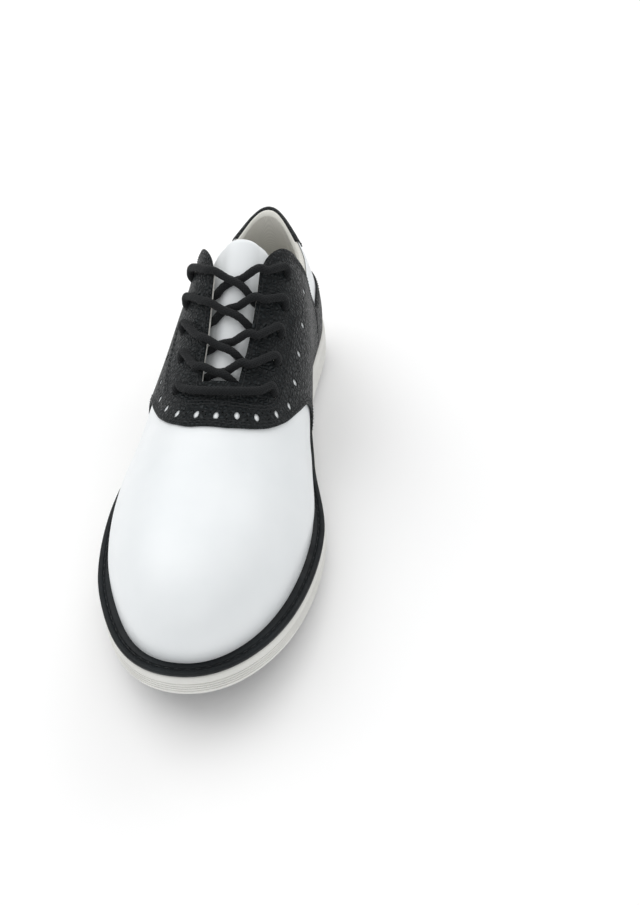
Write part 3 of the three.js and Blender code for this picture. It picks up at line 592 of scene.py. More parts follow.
def quarter_patch(side, rows, cols):
    """One quarter, from the middle of the heel to its front edge."""
    def at(s, t, off):
        b, k = 1 - t, (s if side > 0 else 1 - s)
        return on_heel(side * (0.3 + (quarter_front(b) - 0.3) * k),
                       b * collar(0.3 + (quarter_front(b) - 0.3) * k), off)
    return [(rows, cols, at)]


def heel_patch(a, b, low, high, rows, cols):
    """A band round the heel, by wrap coordinate and height."""
    def at(s, t, off):
        w = a + (b - a) * s
        lo = low(w)
        return on_heel(w, lo + (high(w) - lo) * (1 - t), off)
    return [(rows, cols, at)]


def sheet_object(name, patches, inner, outer, mats, edge_mat=None, width=0.4):
    """A closed sheet of leather or lining on the last, between two distances from it."""
    verts, faces, tops = sheet_data(patches, inner, outer)
    kinds = None if edge_mat is None else [0] * tops + [edge_mat] * (len(faces) - tops)
    return bevel(mesh_object(name, verts, faces, mats, kinds), width)


def normal_at(u, a, off):
    """Outward unit normal of the layer at (station, degrees)."""
    e = 0.4
    p = on_last(u, np.radians(a), off)
    du = on_last(u + e, np.radians(a), off) - p
    da = on_last(u, np.radians(a + e), off) - p
    n = np.cross(da, du)
    n /= np.linalg.norm(n, axis=-1, keepdims=True) + 1e-12
    out = on_last(u, np.radians(a), off + 1) - p
    return n * np.sign(np.sum(n * out, -1, keepdims=True))


# ---------------------------------------------------------------- stitches, holes and punched marks
def stitches(name, rows, mat, length=2.2, gap=1.0, radius=0.32, sink=0.28):
    """Rows of thread: each row is (points, normals) on the surface."""
    profile = np.array([[-0.5, 0.35, -1.6], [-0.38, 0.8, -0.3], [0, 1.0, 0.55], [0.38, 0.8, -0.3],
                        [0.5, 0.35, -1.6]])
    ang = np.linspace(0, 2 * np.pi, 7)[:-1]
    verts, faces = [], []
    for pts, nor in rows:
        pts, nor = np.asarray(pts, float), np.asarray(nor, float)
        d = np.r_[0, np.cumsum(np.linalg.norm(np.diff(pts, axis=0), axis=1))]
        if d[-1] < length:
            continue
        s = np.arange(0.5 * (length + gap), d[-1] - 0.5 * length, length + gap)
        for x in s:
            def at(q, table):
                return np.array([np.interp(q, d, table[:, k]) for k in range(3)])
            c, n = at(x, pts), at(x, nor)
            t = at(x + 0.3, pts) - at(x - 0.3, pts)
            t /= np.linalg.norm(t) + 1e-12
            n = n - t * (n @ t)
            n /= np.linalg.norm(n) + 1e-12
            b = np.cross(t, n)
            start = len(verts)
            for k, r, up in profile:
                m = c + t * (k * length) + n * (radius * up - sink + 0.30)
                for q in ang:
                    verts.append(m + radius * r * (np.cos(q) * b + 0.8 * np.sin(q) * n))
            for i in range(len(profile) - 1):
                for j in range(6):
                    a0, a1 = start + i * 6 + j, start + i * 6 + (j + 1) % 6
                    faces.append((a0, a1, a1 + 6, a0 + 6))
            faces.append(tuple(start + j for j in range(6))[::-1])
            faces.append(tuple(start + 24 + j for j in range(6)))
    return mesh_object(name, verts, faces, mat, smooth_angle=None)


def row_on_last(places):
    """Points and normals of a row of thread through (station, degrees) places on the outer layer."""
    u, a = np.array(places, float).T
    return on_last(u, np.radians(a), OVER_OUT), normal_at(u, a, OVER_OUT)


def inside_edge(places, distance):
    """The places moved sideways by a distance in mm, to the left of their direction."""
    p = np.array(places, float)
    pts = on_last(p[:, 0], np.radians(p[:, 1]), OVER_OUT)
    du = np.linalg.norm(on_last(p[:, 0] + 0.5, np.radians(p[:, 1]), OVER_OUT) - pts, axis=1) / 0.5
    da = np.linalg.norm(on_last(p[:, 0], np.radians(p[:, 1] + 0.5), OVER_OUT) - pts, axis=1) / 0.5
    t = np.c_[np.gradient(p[:, 0]) * du, np.gradient(p[:, 1]) * da]
    t /= np.linalg.norm(t, axis=1)[:, None] + 1e-9
    n = np.c_[-t[:, 1], t[:, 0]]
    return np.c_[p[:, 0] + distance * n[:, 0] / du, p[:, 1] + distance * n[:, 1] / da]


def cutters(name, holes, low, high):
    """Prisms through the layer: holes are (u, degrees, half length, half width, turn in degrees)."""
    verts, faces = [], []
    sides = 14
    ang = np.linspace(0, 2 * np.pi, sides, endpoint=False)
    for u, a, rl, rw, turn in holes:
        c = on_last(u, np.radians(a), (low + high) / 2)
        n = normal_at(np.float64(u), np.float64(a), (low + high) / 2)
        t = on_last(u + 0.5, np.radians(a), (low + high) / 2) - c
        t = t - n * (t @ n)
        t /= np.linalg.norm(t)
        b = np.cross(n, t)
        k = np.radians(turn)
        x, y = np.cos(k) * t + np.sin(k) * b, -np.sin(k) * t + np.cos(k) * b
        start = len(verts)
        for z in (low - (low + high) / 2, high - (low + high) / 2):
            for q in ang:
                pinch = 1 if rl == rw else abs(np.sin(q)) ** 0.35
                verts.append(c + n * z + x * rl * np.cos(q) + y * rw * np.sin(q) * pinch)
        faces.append(tuple(start + j for j in range(sides))[::-1])
        faces.append(tuple(start + sides + j for j in range(sides)))
        for j in range(sides):
            faces.append((start + j, start + (j + 1) % sides, start + sides + (j + 1) % sides,
                          start + sides + j))
    return mesh_object(name, verts, faces, HOLE_AND_SEAM_SHADE, smooth_angle=None)


def cut(ob, tool):
    """Takes the cutters out of a piece."""
    m = ob.modifiers.new("cut", "BOOLEAN")
    m.operation, m.object, m.solver = "DIFFERENCE", tool, "MANIFOLD"
    bake_modifiers(ob)
    bpy.data.objects.remove(tool)
    return ob


medial_eyelets = [(113.5, 59), (127.5, 60), (140.5, 61.5), (154, 61.5), (169, 60.5)]
lateral_eyelets = [(110, 131), (125, 128), (138, 125.5), (155, 119.5), (172, 118)]
eyelets = medial_eyelets + lateral_eyelets
medial_lens = [(168.2, 48.3, 38), (154.2, 46.0, 65), (139, 45.0, 72), (124.2, 43.5, 78),
               (106, 41.5, 85)]
front_lens = [(186.8, 111.9, -14), (189.5, 99.7, -4), (190.2, 89.5, 3), (188.5, 79.1, 10),
              (186, 68.4, 18), (178.2, 56.7, 28)]
lateral_lens = [(180.0, 122.0, -24), (169.5, 131.5, -40), (156.5, 137.0, -60), (142, 138.8, -70),
                (127, 140.5, -78), (112, 141.5, -84)]
lens = front_lens + medial_lens + lateral_lens


# ---------------------------------------------------------------- the upper
def vamp():
    """White leather over the toe and forefoot, tucked under the saddle."""
    ob = sheet_object("vamp_leather", toe_patch(lambda a: front(a) - 14, 130, 100, 1.5), BACK_IN,
                      BACK_OUT, WHITE)
    return done(ob, nodes=["vamp"])


def vamp_inside():
    """Lining under the vamp."""
    back = curve([(0, 121), (30, 135), (42, 165), (55, 187), (127, 187), (136, 168), (148, 138),
                  (180, 121)])
    ob = sheet_object("vamp_inside", toe_patch(back, 60, 40), 0, 0.7, LINING, width=0.2)
    return done(ob, nodes=["vamp_lining"])


def saddle():
    """Black leather with eyelets, lens-shaped perforations and pin holes."""
    ob = sheet_object("saddle_leather", saddle_patches(flap_rear, front, 84, 60, 16, 26), OVER_IN,
                      OVER_OUT, BLACK,
                      width=0.45)
    bake_modifiers(ob)
    holes = [(u, a, 2.55, 2.55, 0) for u, a in eyelets]
    holes += [(u, a, 2.2, 1.4, t) for u, a, t in lens]
    holes += pinholes
    cut(ob, cutters("cut_saddle", holes, OVER_IN - 1.2, OVER_OUT + 1.4))
    ob.data.set_sharp_from_angle(angle=np.radians(45))
    return done(ob, nodes=["saddle"])


def lens_backing():
    """White leather that shows through the lens-shaped perforations."""
    ob = cutters("perforation_leather", [(u, a, 2.3, 1.5, t) for u, a, t in lens], 3.75, 4.72)
    ob.data.materials.clear()
    ob.data.materials.append(WHITE)
    return done(ob)


def backer():
    """Stiff layer under the saddle, with the same eyelets."""
    ob = sheet_object("saddle_inside", saddle_patches(backer_rear, lambda a: front(a) - 14.4, 50,
                                                      40, 4, 12),
                      BACK_IN, BACK_OUT, BOARD, width=0.3)
    bake_modifiers(ob)
    cut(ob, cutters("cut_backer", [(u, a, 2.7, 2.7, 0) for u, a in eyelets], BACK_IN - 1.4,
                    BACK_OUT + 1.6))
    return done(ob, nodes=["saddle_backer"])


# Small round marks between and beside the lens perforations.
pinholes = []
for group in (front_lens, medial_lens, lateral_lens):
    for i in range(len(group) - 1):
        (u0, a0, _), (u1, a1, _) = group[i], group[i + 1]
        for k, side in ((0.5, 0.0), (0.3, 0.9), (0.7, 0.9), (0.5, -1.4)):
            du, da = u1 - u0, (a1 - a0) * 0.95
            n = np.hypot(du, da)
            pinholes.append((u0 + k * (u1 - u0) + side * 1.5 * da / n,
                             a0 + k * (a1 - a0) - side * 1.5 * du / n, 0.42, 0.42, 0))


def quarters():
    """White leather on both sides, behind the saddle."""
    out = []
    for side, name in ((1, "medial"), (-1, "lateral")):
        ob = sheet_object(f"quarter_{name}_leather", quarter_patch(side, 70, 46), BACK_IN, BACK_OUT,
                          WHITE)
        out.append(done(ob, nodes=[f"quarter_{name}"]))
    return out


def counter():
    """Black leather round the bottom of the heel."""
    ob = sheet_object("heel_counter_leather", heel_patch(-61.4, 61.4, lambda w: 0 * w,
                                                         lambda w: counter_top(np.abs(w)), 130, 24),
                      OVER_IN, OVER_OUT, BLACK, width=0.45)
    return done(ob, nodes=["heel_counter"])


def strip(name, rows_w, profile, mat, thick):
    """A sheet along the heel whose centre line at each w is profile(w), a list of (h, off)."""
    lines = [np.array(profile(w), float) for w in rows_w]
    top, bottom = [], []
    for w, line in zip(rows_w, lines):
        t = np.gradient(line, axis=0)
        t /= np.linalg.norm(t, axis=1)[:, None]
        n = np.c_[-t[:, 1], t[:, 0]]
        a, b = line + n * thick / 2, line - n * thick / 2
        top.append(on_heel(w, a[:, 0], a[:, 1]))
        bottom.append(on_heel(w, b[:, 0], b[:, 1]))
    rows, cols = len(rows_w) - 1, len(lines[0]) - 1
    top, bottom = np.array(top).reshape(-1, 3), np.array(bottom).reshape(-1, 3)
    faces, _ = two_sided(grid_faces(rows, cols), len(top))
    ob = mesh_object(name, np.concatenate([top, bottom]), faces, mat)
    fix_normals(ob)
    return ob


def fix_normals(ob):
    """Turns all faces outward."""
    bm = bmesh.new()
    bm.from_mesh(ob.data)
    bmesh.ops.recalc_face_normals(bm, faces=bm.faces)
    bm.to_mesh(ob.data)
    bm.free()


def heel_tab():
    """Black leather over the top of the heel, turned in at its rim."""
    ws = np.linspace(-35, 35, 90)

    def profile(w):
        c = float(collar(w))
        low = float(tab_bottom(abs(w)))
        out = [(low + (c - 1 - low) * k, 4.6) for k in np.linspace(0, 1, 22)[:-1]]
        bend = [(c - 1, 4.6), (c + 0.3, 4.5), (c + 1.15, 3.8), (c + 1.55, 2.7), (c + 1.6, 1.5),
                (c + 1.25, 0.5), (c + 0.6, -0.2)]
        q = resample(spline(np.c_[np.array(bend), np.zeros(len(bend))], 6), 0.5)[:, :2]
        s = np.linspace(0, len(q) - 1, 26)
        q = np.c_[np.interp(s, range(len(q)), q[:, 0]), np.interp(s, range(len(q)), q[:, 1])]
        return out + [tuple(x) for x in q]
    ob = strip("heel_tab_leather", ws, profile, BLACK, 0.8)
    bevel(ob, 0.3)
    return done(ob, nodes=["heel_tab"])


def collar_pad():
    """The padded collar and the lining below it, as one closed cushion round the foot opening."""
    ws = np.concatenate([np.linspace(-118, -45, 60), np.linspace(-44, 44, 90),
                         np.linspace(45, 118, 60)])
    rings = []
    for w in ws:
        a = abs(w)
        full = float(1 - smooth(76, 96, a))
        c = min(float(collar(w)) + 0.4 * full, float(lining_rim(a)) + 3 * full)
        stiff = 31.9 if a < 60 else 31.9 * float(1 - smooth(60, 66, a))
        thick = -0.6 + 2.55 * full
        loop = [(0.4, -1.8), (0.4, -0.62)]
        if stiff > 3:
            loop += [(stiff * k, -0.62) for k in (0.25, 0.5, 0.75, 0.96)]
        else:
            loop += [(c * k, -0.62) for k in (0.12, 0.2, 0.3, 0.4)]
        low = max(stiff, 24.0)
        side = [(low + 2.5 + (c - 3 - low) * k, -0.6 + (thick + 0.6) * float(smooth(0, 0.12,
            k))) for k in np.linspace(0, 1, 7)]
        loop += [(min(h, c - 0.8), o) for h, o in side]
        r = 1 + 2.2 * full
        loop += [(c + 0.2 * full, thick - 0.3 * full - 0.1),
                 (c + 0.75 * full + 0.1, thick - 1.1 * full - 0.3),
                 (c + 0.7 * full + 0.05, -0.9 - 0.9 * full), (c - 0.4, -1.5 - 1.2 * full)]

        def swell(k):
            return float(np.sin(np.pi * (0.35 + 0.9 * k)) ** 0.8 if 0.35 + 0.9 * k < 1 else 0.0)

        inner = [(c - 1 - (c - 26) * k, -1.8 - (r - 0.6) * full * swell(k)) for k in np.linspace(0,
            1, 12)]
        loop += inner + [(18.0, -1.8), (9.0, -1.8)]
        h, o = np.array(loop).T
        rings.append(on_heel(w, np.clip(h, 0.2, None), o))
    rings = np.array(rings)
    m = rings.shape[1]
    verts = rings.reshape(-1, 3)
    faces = [tuple(f) for f in grid_faces(len(ws) - 1, m, 0, True)]
    faces += [tuple(range(m)), tuple(range((len(ws) - 1) * m, len(ws) * m))[::-1]]
    ob = mesh_object("collar_padding", verts, faces, LINING, smooth_angle=60)
    fix_normals(ob)
    sub = ob.modifiers.new("soft", "SUBSURF")
    sub.levels = sub.render_levels = 1
    done(ob, nodes=["quarter_lining", "collar_foam"])
    return ob


def tongue():
    """White padded tongue under the lace."""
    back = curve([(0, 101.5), (.5, 102), (.8, 104.5), (1, 111.5)])
    half = curve([(101.5, 38), (130, 36), (186, 26)])
    rows, cols = 90, 100
    s, t = np.meshgrid(np.linspace(-1, 1, rows + 1), np.linspace(0, 1, cols + 1), indexing="ij")
    b = back(np.abs(s))
    u = b + (186 - b) * t
    angle = MIDDLE + s * half(u)
    crown = 1.8 * np.clip(1 - ((angle - MIDDLE) / throat_half(u)) ** 2, 0, 1)
    rise = np.clip((u - 176) / 8, 0, 1)
    outer = (-3.5 + crown) * (1 - rise) - 0.4 * rise
    inner = np.full_like(outer, -8.0)
    top_edge = 1 - np.clip(1 - t / 0.045, 0, 1) ** 2.4
    low_edge = 1 - 0.8 * np.clip((t - 0.97) / 0.03, 0, 1) ** 2
    rim = (1 - np.abs(s) ** 9) * top_edge * low_edge
    rim = np.sqrt(np.clip(rim, 0, 1))
    mid = -5.9
    puff = 0.6 * np.exp(-((u - 106) / 6) ** 2)
    top = on_last(u, np.radians(angle), mid + (outer + puff - mid) * rim)
    bottom = on_last(u, np.radians(angle), mid + (inner - mid) * rim)
    faces, fronts = two_sided(grid_faces(rows, cols), (rows + 1) * (cols + 1))
    kinds = [0] * fronts + [1] * (len(faces) - fronts)
    ob = mesh_object("tongue_padded", np.concatenate([top.reshape(-1, 3), bottom.reshape(-1, 3)]),
                     faces, [WHITE, LINING], kinds,
                     smooth_angle=80)
    bm = bmesh.new()
    bm.from_mesh(ob.data)
    bmesh.ops.remove_doubles(bm, verts=bm.verts, dist=1e-6)
    bmesh.ops.recalc_face_normals(bm, faces=bm.faces)
    bm.to_mesh(ob.data)
    bm.free()
    done(ob, nodes=["tongue"])
    return ob


for build in (vamp, vamp_inside, saddle, lens_backing, backer, quarters, counter, heel_tab,
              collar_pad, tongue):
    build()


# ---------------------------------------------------------------- the sole
def sole_half(u, inset):
    """Half width of the sole, inset from its edge."""
    toe_end, heel_end = SOLE - inset, inset
    return (outline_half(u) - inset) * rounding(u, toe_end, heel_end)


def sole_ring(inset, sides=70, toe=90, heel=60):
    """Stations, signs and half widths round the outline that lies inset inside the edge of the sole."""
    a_toe = np.linspace(0, np.pi / 2, toe // 2 + 1)
    a_heel = np.linspace(np.pi / 2, 0, heel // 2 + 1)
    u_heel = HEEL - (HEEL - inset) * np.sin(a_heel) ** (2 / ROUND)
    h_heel = (outline_half(u_heel) - inset) * np.cos(a_heel) ** (2 / ROUND)
    u_side = np.linspace(HEEL, TOE, sides + 1)[1:-1]
    u_toe = TOE + (SOLE - inset - TOE) * np.sin(a_toe) ** (2 / ROUND)
    h_toe = (outline_half(u_toe) - inset) * np.cos(a_toe) ** (2 / ROUND)
    u = np.concatenate([u_heel, u_side, u_toe])
    h = np.concatenate([h_heel, outline_half(u_side) - inset, h_toe])
    return u, h


def last_ring(off, sides=70, toe=60, heel=50):
    """As sole_ring, for the foot of the last."""
    a_toe = np.linspace(0, np.pi / 2, toe // 2 + 1)
    a_heel = np.linspace(np.pi / 2, 0, heel // 2 + 1)
    u_heel = HEEL - (HEEL - BACK + off) * np.sin(a_heel) ** (2 / ROUND)
    u_toe = TOE + (TIP + off - TOE) * np.sin(a_toe) ** (2 / ROUND)
    u_side = np.linspace(HEEL, TOE, sides + 1)[1:-1]
    u = np.concatenate([u_heel, u_side, u_toe])
    wide = outline_half(u) - feather_inset(u) + off
    k = np.concatenate([np.cos(a_heel) ** (2 / ROUND), np.ones(len(u_side)),
                        np.cos(a_toe) ** (2 / ROUND)])
    return u, wide * k


def foot_solid(name, rings, mats, kinds=None, smooth_angle=40):
    """Closed solid from rings [(u, half, z)], each running from heel to toe; the other side mirrors it."""
    verts, m = [], None
    for u, half, z in rings:
        c = centre(u)
        med = np.stack([c + half, ORIGIN - u, z], -1)
        lat = np.stack([c - half, ORIGIN - u, z], -1)[1:-1][::-1]
        ring = np.concatenate([med, lat])
        m = len(ring)
        verts.append(ring)
    verts = np.concatenate(verts)
    faces = [tuple(f) for f in grid_faces(len(rings) - 1, m, 0, True)]
    mat = [kinds[i] if kinds else 0 for i in range(len(rings) - 1) for _ in range(m)]
    half_n = m // 2
    for base, flip in ((0, False), ((len(rings) - 1) * m, True)):
        for k in range(half_n):
            a, b, c, d = base + k, base + k + 1, base + (m - k - 1) % m, base + (m - k) % m
            f = [x for i, x in enumerate((a, b, c, d)) if x not in (a, b, c, d)[:i]]
            faces.append(tuple(f[::-1] if flip else f))
            mat.append(0)
    ob = mesh_object(name, verts, faces, mats, mat, smooth_angle=smooth_angle)
    fix_normals(ob)
    return ob


cleat_places = [("toe", 236, -2), ("ball_medial", 190, 30), ("ball_lateral", 194, -36),
                ("waist_medial", 160, 23), ("waist_lateral", 164, -35), ("heel_medial", 42, 15),
                ("heel_lateral", 42, -19)]


def cleat_matrix(u, v):
    """Place of a cleat, tilted with the sole."""
    slope = 2 * 15.9 * max(0, u - 195) / 105**2
    return (Matrix.Translation(Vector(((v + SHIFT) * MM, (ORIGIN - u) * MM, float(spring(u)) * MM)))
            @ Matrix.Rotation(-np.arctan(slope), 4, "X"))


def cylinders(name, radius, low, high, sides=48):
    """Upright cylinders at every cleat, tilted with the sole."""
    verts, faces = [], []
    for _, u, v in cleat_places:
        m = cleat_matrix(u, v)
        start = len(verts)
        for z in (low, high):
            for q in np.linspace(0, 2 * np.pi, sides, endpoint=False):
                verts.append([x / MM for x in m @ Vector((radius * np.cos(q) * MM,
                                                          radius * np.sin(q) * MM, z * MM))])
        faces.append(tuple(start + j for j in range(sides))[::-1])
        faces.append(tuple(start + sides + j for j in range(sides)))
        faces += [(start + j, start + (j + 1) % sides, start + sides + (j + 1) % sides,
                   start + sides + j) for j in range(sides)]
    return mesh_object(name, verts, faces, RUBBER, smooth_angle=None)


MID_LOW, MID_TOP = 6.0, 19.7


def midsole():
    """Pale foam with moulded grooves, stepped under the heel."""
    step = 3.2
    side = curve([(0, 0.4), (0.175, -0.9), (0.5, -0.75), (0.78, -0.36), (0.94, 0.3), (1, 1.2)])
    grooves = (0.30, 0.42, 0.54, 0.66)
    near_grooves = [g + np.linspace(-0.045, 0.045, 9) for g in grooves]
    levels = np.unique(np.concatenate([np.linspace(0, 1, 46), *near_grooves]))
    base_u, _ = sole_ring(0.0)
    rings = []

    def ring(f, inset_extra=0.0):
        groove = sum(np.exp(-((f - g) / 0.020) ** 4) for g in grooves)
        inset = float(side(f)) + 0.95 * float(groove) + inset_extra
        u, half = sole_ring(inset)
        top = MID_TOP + step * (1 - smooth(99.2, 99.9, base_u))
        z = MID_LOW + (top - MID_LOW) * f
        part = np.clip((f - 0.175) / 0.6, 0, 1)
        return u, half, z + spring(u) + lift(u) * part

    rings.append(ring(0, 9.0))
    rings += [ring(f) for f in levels]
    rings += [ring(1.0, 2.5), ring(1.0, 9.0)]
    ob = foot_solid("midsole_foam", rings, MIDSOLE)
    cut(ob, cylinders("cut_pockets", 6.45, -2, 11.45, 32))
    return done(ob, nodes=["midsole"])


def outsole():
    """Black rubber plate with a pocket for each cleat."""
    profile = [(14, 2.6), (6.2, 2.6), (5.0, 2.75), (4.5, 3.2), (4.3, 4.2), (4.05, 5.3), (4.4, 5.7),
               (14, 5.7)]
    rings = []
    for inset, z in profile:
        u, half = sole_ring(inset)
        rings.append((u, half, z + spring(u)))
    ob = foot_solid("outsole_rubber", rings, RUBBER)
    cut(ob, cylinders("cut_flanges", 11.4, -4, 7.4))
    return done(ob, nodes=["outsole"])


def lugs():
    """Rounded studs round the rim of the outsole, and low ribs between the cleats."""
    verts, faces = [], []
    sides = 18
    for u in (22, 68, 100, 140, 188, 230, 256, 276):
        for side in (1, -1):
            x, y = float(centre(u) + side * sole_half(u, 8.6)), ORIGIN - u
            base = float(spring(u))
            start = len(verts)
            for r, z in ((3.25, 2.7), (3.1, 1.9), (2.75, 0.7), (2.45, 0.25), (1.7, 0.05),
                         (1.2, 0.45), (0.5, 0.55)):
                for q in np.linspace(0, 2 * np.pi, sides, endpoint=False):
                    rr = r * (1 + 0.07 * np.cos(3 * q))
                    verts.append((x + rr * np.cos(q), y + rr * np.sin(q), base + z))
            for i in range(6):
                for j in range(sides):
                    a0, a1 = start + i * sides + j, start + i * sides + (j + 1) % sides
                    faces.append((a0, a0 + sides, a1 + sides, a1))
            faces.append(tuple(start + j for j in range(sides)))
            faces.append(tuple(start + 6 * sides + j for j in range(sides))[::-1])
    for u in np.arange(60, 138, 4.0):
        w = float(sole_half(u, 15))
        z = float(spring(u)) + 2.6
        for x0, x1 in ((-w, -4), (4, w)):
            xs = np.linspace(x0, x1, 12)
            start = len(verts)
            for x in xs:
                dy = -0.22 * abs(x)
                cx, cy = float(centre(u)) + x, ORIGIN - u + dy
                verts += [(cx, cy - 1.0, z + 0.2), (cx, cy - 0.6, z - 0.9), (cx, cy + 0.6, z - 0.9),
                          (cx, cy + 1.0, z + 0.2)]
            for i in range(11):
                for j in range(4):
                    p, q = start + i * 4 + j, start + i * 4 + (j + 1) % 4
                    faces.append((p, q, q + 4, p + 4))
            faces.append((start, start + 3, start + 2, start + 1))
            e = start + 44
            faces.append((e, e + 1, e + 2, e + 3))
    ob = mesh_object("outsole_lugs", verts, faces, RUBBER, smooth_angle=35)
    fix_normals(ob)
    bevel(ob, 0.15, 1)
    return done(ob)


def welt_path(inset, sides=90, toe=140):
    """The welt line round the forefoot."""
    u = np.linspace(100, TOE, sides + 1)[:-1]
    a = np.linspace(0, np.pi, toe + 1)
    ut = TOE + (SOLE - inset - TOE) * np.sin(a) ** (2 / ROUND)
    c = np.cos(a)
    vt = (outline_half(ut) - inset) * np.sign(c) * np.abs(c) ** (2 / ROUND)
    uu = np.concatenate([u, ut, u[::-1]])
    off = np.concatenate([outline_half(u) - inset, vt, -(outline_half(u[::-1]) - inset)])
    return np.stack([centre(uu) + off, ORIGIN - uu, lift(uu) + spring(uu)], -1)


def welt():
    """Black rubber strip round the forefoot."""
    profile = [(0.9, 20.0), (0.35, 20.15), (0.0, 20.6), (-0.05, 21.4), (0.0, 22.2), (0.3, 22.7),
               (0.9, 22.9), (2.1, 22.92), (2.35, 22.75), (2.6, 22.35), (3.0, 22.25), (3.4, 22.35),
               (3.65, 22.75), (3.9, 22.92), (12, 22.9), (12, 20.0)]
    rings = np.array([welt_path(i) + [0, 0, z] for i, z in profile])
    m = rings.shape[1]
    verts = np.transpose(rings, (1, 0, 2)).reshape(-1, 3)
    k = len(profile)
    faces = [tuple(f) for f in grid_faces(m - 1, k, 0, True)]
    faces += [tuple(range(k)), tuple(range((m - 1) * k, m * k))[::-1]]
    ob = mesh_object("welt_rubber", verts, faces, RUBBER, smooth_angle=50)
    fix_normals(ob)
    done(ob, nodes=["welt"])
    line = resample(welt_path(3.0) + [0, 0, 22.3], 1.0)
    up = np.tile([0, 0, 1.0], (len(line), 1))
    thread = stitches("welt_stitches", [(line, up)], THREAD_B, 3.4, 1.0, 0.42, 0.2)
    done(thread)
    return ob


def footbed():
    """Cushioned insole."""
    rings = []
    for off, z in ((-12, 25.5), (-2.9, 25.5), (-2.65, 25.9), (-2.6, 28.2), (-2.7, 28.75),
                   (-3.2, 29.0), (-6, 28.95), (-14, 28.5), (-24, 28.4)):
        u, half = last_ring(off)
        rings.append((u, np.maximum(half, 0), z + lift(u) + spring(u)))
    ob = foot_solid("footbed_cushion", rings, FOOTBED)
    done(ob, nodes=["footbed"])
    return ob


# ---------------------------------------------------------------- cleats
def turned(profile, sides=64):
    """Verts and faces of a turned shape from (radius, z) pairs, in mm."""
    verts, faces = [], []
    ang = np.linspace(0, 2 * np.pi, sides, endpoint=False)
    for r, z in profile:
        verts += [(r * np.cos(q), r * np.sin(q), z) for q in ang]
    faces += [tuple(f) for f in grid_faces(len(profile) - 1, sides, 0, True)]
    faces += [tuple(range(sides)), tuple(range((len(profile) - 1) * sides,
                                               len(profile) * sides))[::-1]]
    return verts, faces


def cleat_mesh():
    """Turned centre with six legs."""
    verts, faces = turned([(0.6, 11.4 - 1.9), (2.5, 9.4), (2.9, 8.9), (2.9, 4.5), (3.2, 4.0),
                           (7.2, 3.88), (7.5, 3.6), (7.5, 2.5), (7.2, 2.25),
                           (4.2, 2.2), (3.9, 2.5), (3.2, 2.55), (2.9, 2.2), (2.2, 2.15),
                           (0.4, 2.15)])
    for i in range(6):
        a = np.pi * i / 3
        c, s = np.cos(a), np.sin(a)
        start = len(verts)
        path = [(4.6, 3.0, 1.55, 0.75), (6.2, 2.9, 1.65, 0.85), (7.8, 2.7, 1.7, 0.95),
                (9.0, 2.1, 1.6, 0.95), (9.9, 1.25, 1.45, 0.8), (10.3, 0.6, 1.25, 0.5),
                (10.35, 0.3, 0.9, 0.28)]
        for r, z, w, h in path:
            for k in range(14):
                q = 2 * np.pi * k / 14
                y = w * np.sign(np.cos(q)) * abs(np.cos(q)) ** 0.6
                zz = max(0.03, z + h * np.sign(np.sin(q)) * abs(np.sin(q)) ** 0.6)
                verts.append((r * c - y * s, r * s + y * c, zz))
        faces += [tuple(f) for f in grid_faces(len(path) - 1, 14, start, True)]
        faces += [tuple(range(start, start + 14))[::-1],
                  tuple(range(start + 14 * 6, start + 14 * 7))]
    return verts, faces


def cleats():
    """Seven soft cleats, each on its own turning body."""
    verts, faces = cleat_mesh()
    for name, u, v in cleat_places:
        m = cleat_matrix(u, v)
        pts = [[x / MM for x in m @ (Vector(p) * MM)] for p in verts]
        ob = mesh_object(f"cleat_{name}_moulded", pts, faces, CLEAT, smooth_angle=40)
        fix_normals(ob)
        done(ob, f"cleat_body_{name}", [f"cleat_{name}"])


# ---------------------------------------------------------------- lace
ON_TOP, BELOW = 8.0, -0.35
low_strand = [(1.3, ON_TOP), (1, 8.1), (.84, 7.3), (.6, 4.8), (.35, 2.4), (.2, 1.35), (0, .95),
              (-.25, .85), (-.5, .55), (-.7, .2), (-1, -.6), (-1.3, -.65)]
high_strand = [(1.3, ON_TOP), (1, 8.1), (.8, 7.6), (.6, 6.6), (.4, 5.7), (.25, 5.25), (0, 5.1),
               (-.2, 4.5), (-.4, 3.4), (-.6, 1.9), (-.8, .4), (-1, -.5), (-1.3, -.85)]
medial_strands = [(121.2, 123.2, 126.2), (133, 134.2, 137.5), (149.3, 149.8, 151.3),
                  (163.8, 164.2, 165.6)]
lateral_strands = [(122, 126.2, 130), (135.5, 139.2, 140.8), (152, 155.6, 157),
                   (166.3, 168.2, 169.2)]


def crossing(a, b, strand, stations):
    """One strand across the throat."""
    near, middle, far = stations
    d = -1 if b[1] > a[1] else 1
    places = []
    for share, off in strand:
        k = max(-1.05, min(1.3, share))
        u = middle + (near - far) / 2 * k + ((near + far) / 2 - middle) * k * k
        places.append((u, MIDDLE + d * share * float(throat_half(u)), off))
    over = ((a[0] + places[0][0]) / 2, (a[1] + places[0][1]) / 2 - d * 1.5, ON_TOP)
    under = ((b[0] + places[-1][0]) / 2, (b[1] + places[-1][1]) / 2 + d * 1.5, -0.6)
    return [over, *places, under]


def through(e, d):
    """The lace through one eyelet."""
    u, a = e
    return [(u, a + d * 3.4, ON_TOP), (u, a + d * .4, 6.2), (u, a, 3.8), (u, a + d * .6, 1.4),
            (u, a + d * 3.4, BELOW)]


def tail(e, s):
    """The hidden end of the lace and its eyelet."""
    u, a = e
    return [(u + 24, a - s * 7.5, BELOW), (u + 18, a - s * 7.5, BELOW), (u + 11, a - s * 7, BELOW),
            (u + 5, a - s * 5, BELOW - .2),
            (u + 1, a - s * 1.2, .1), (u, a, 3.2), (u, a + s * .4, 6.2), (u, a + s * 3.4, ON_TOP)]


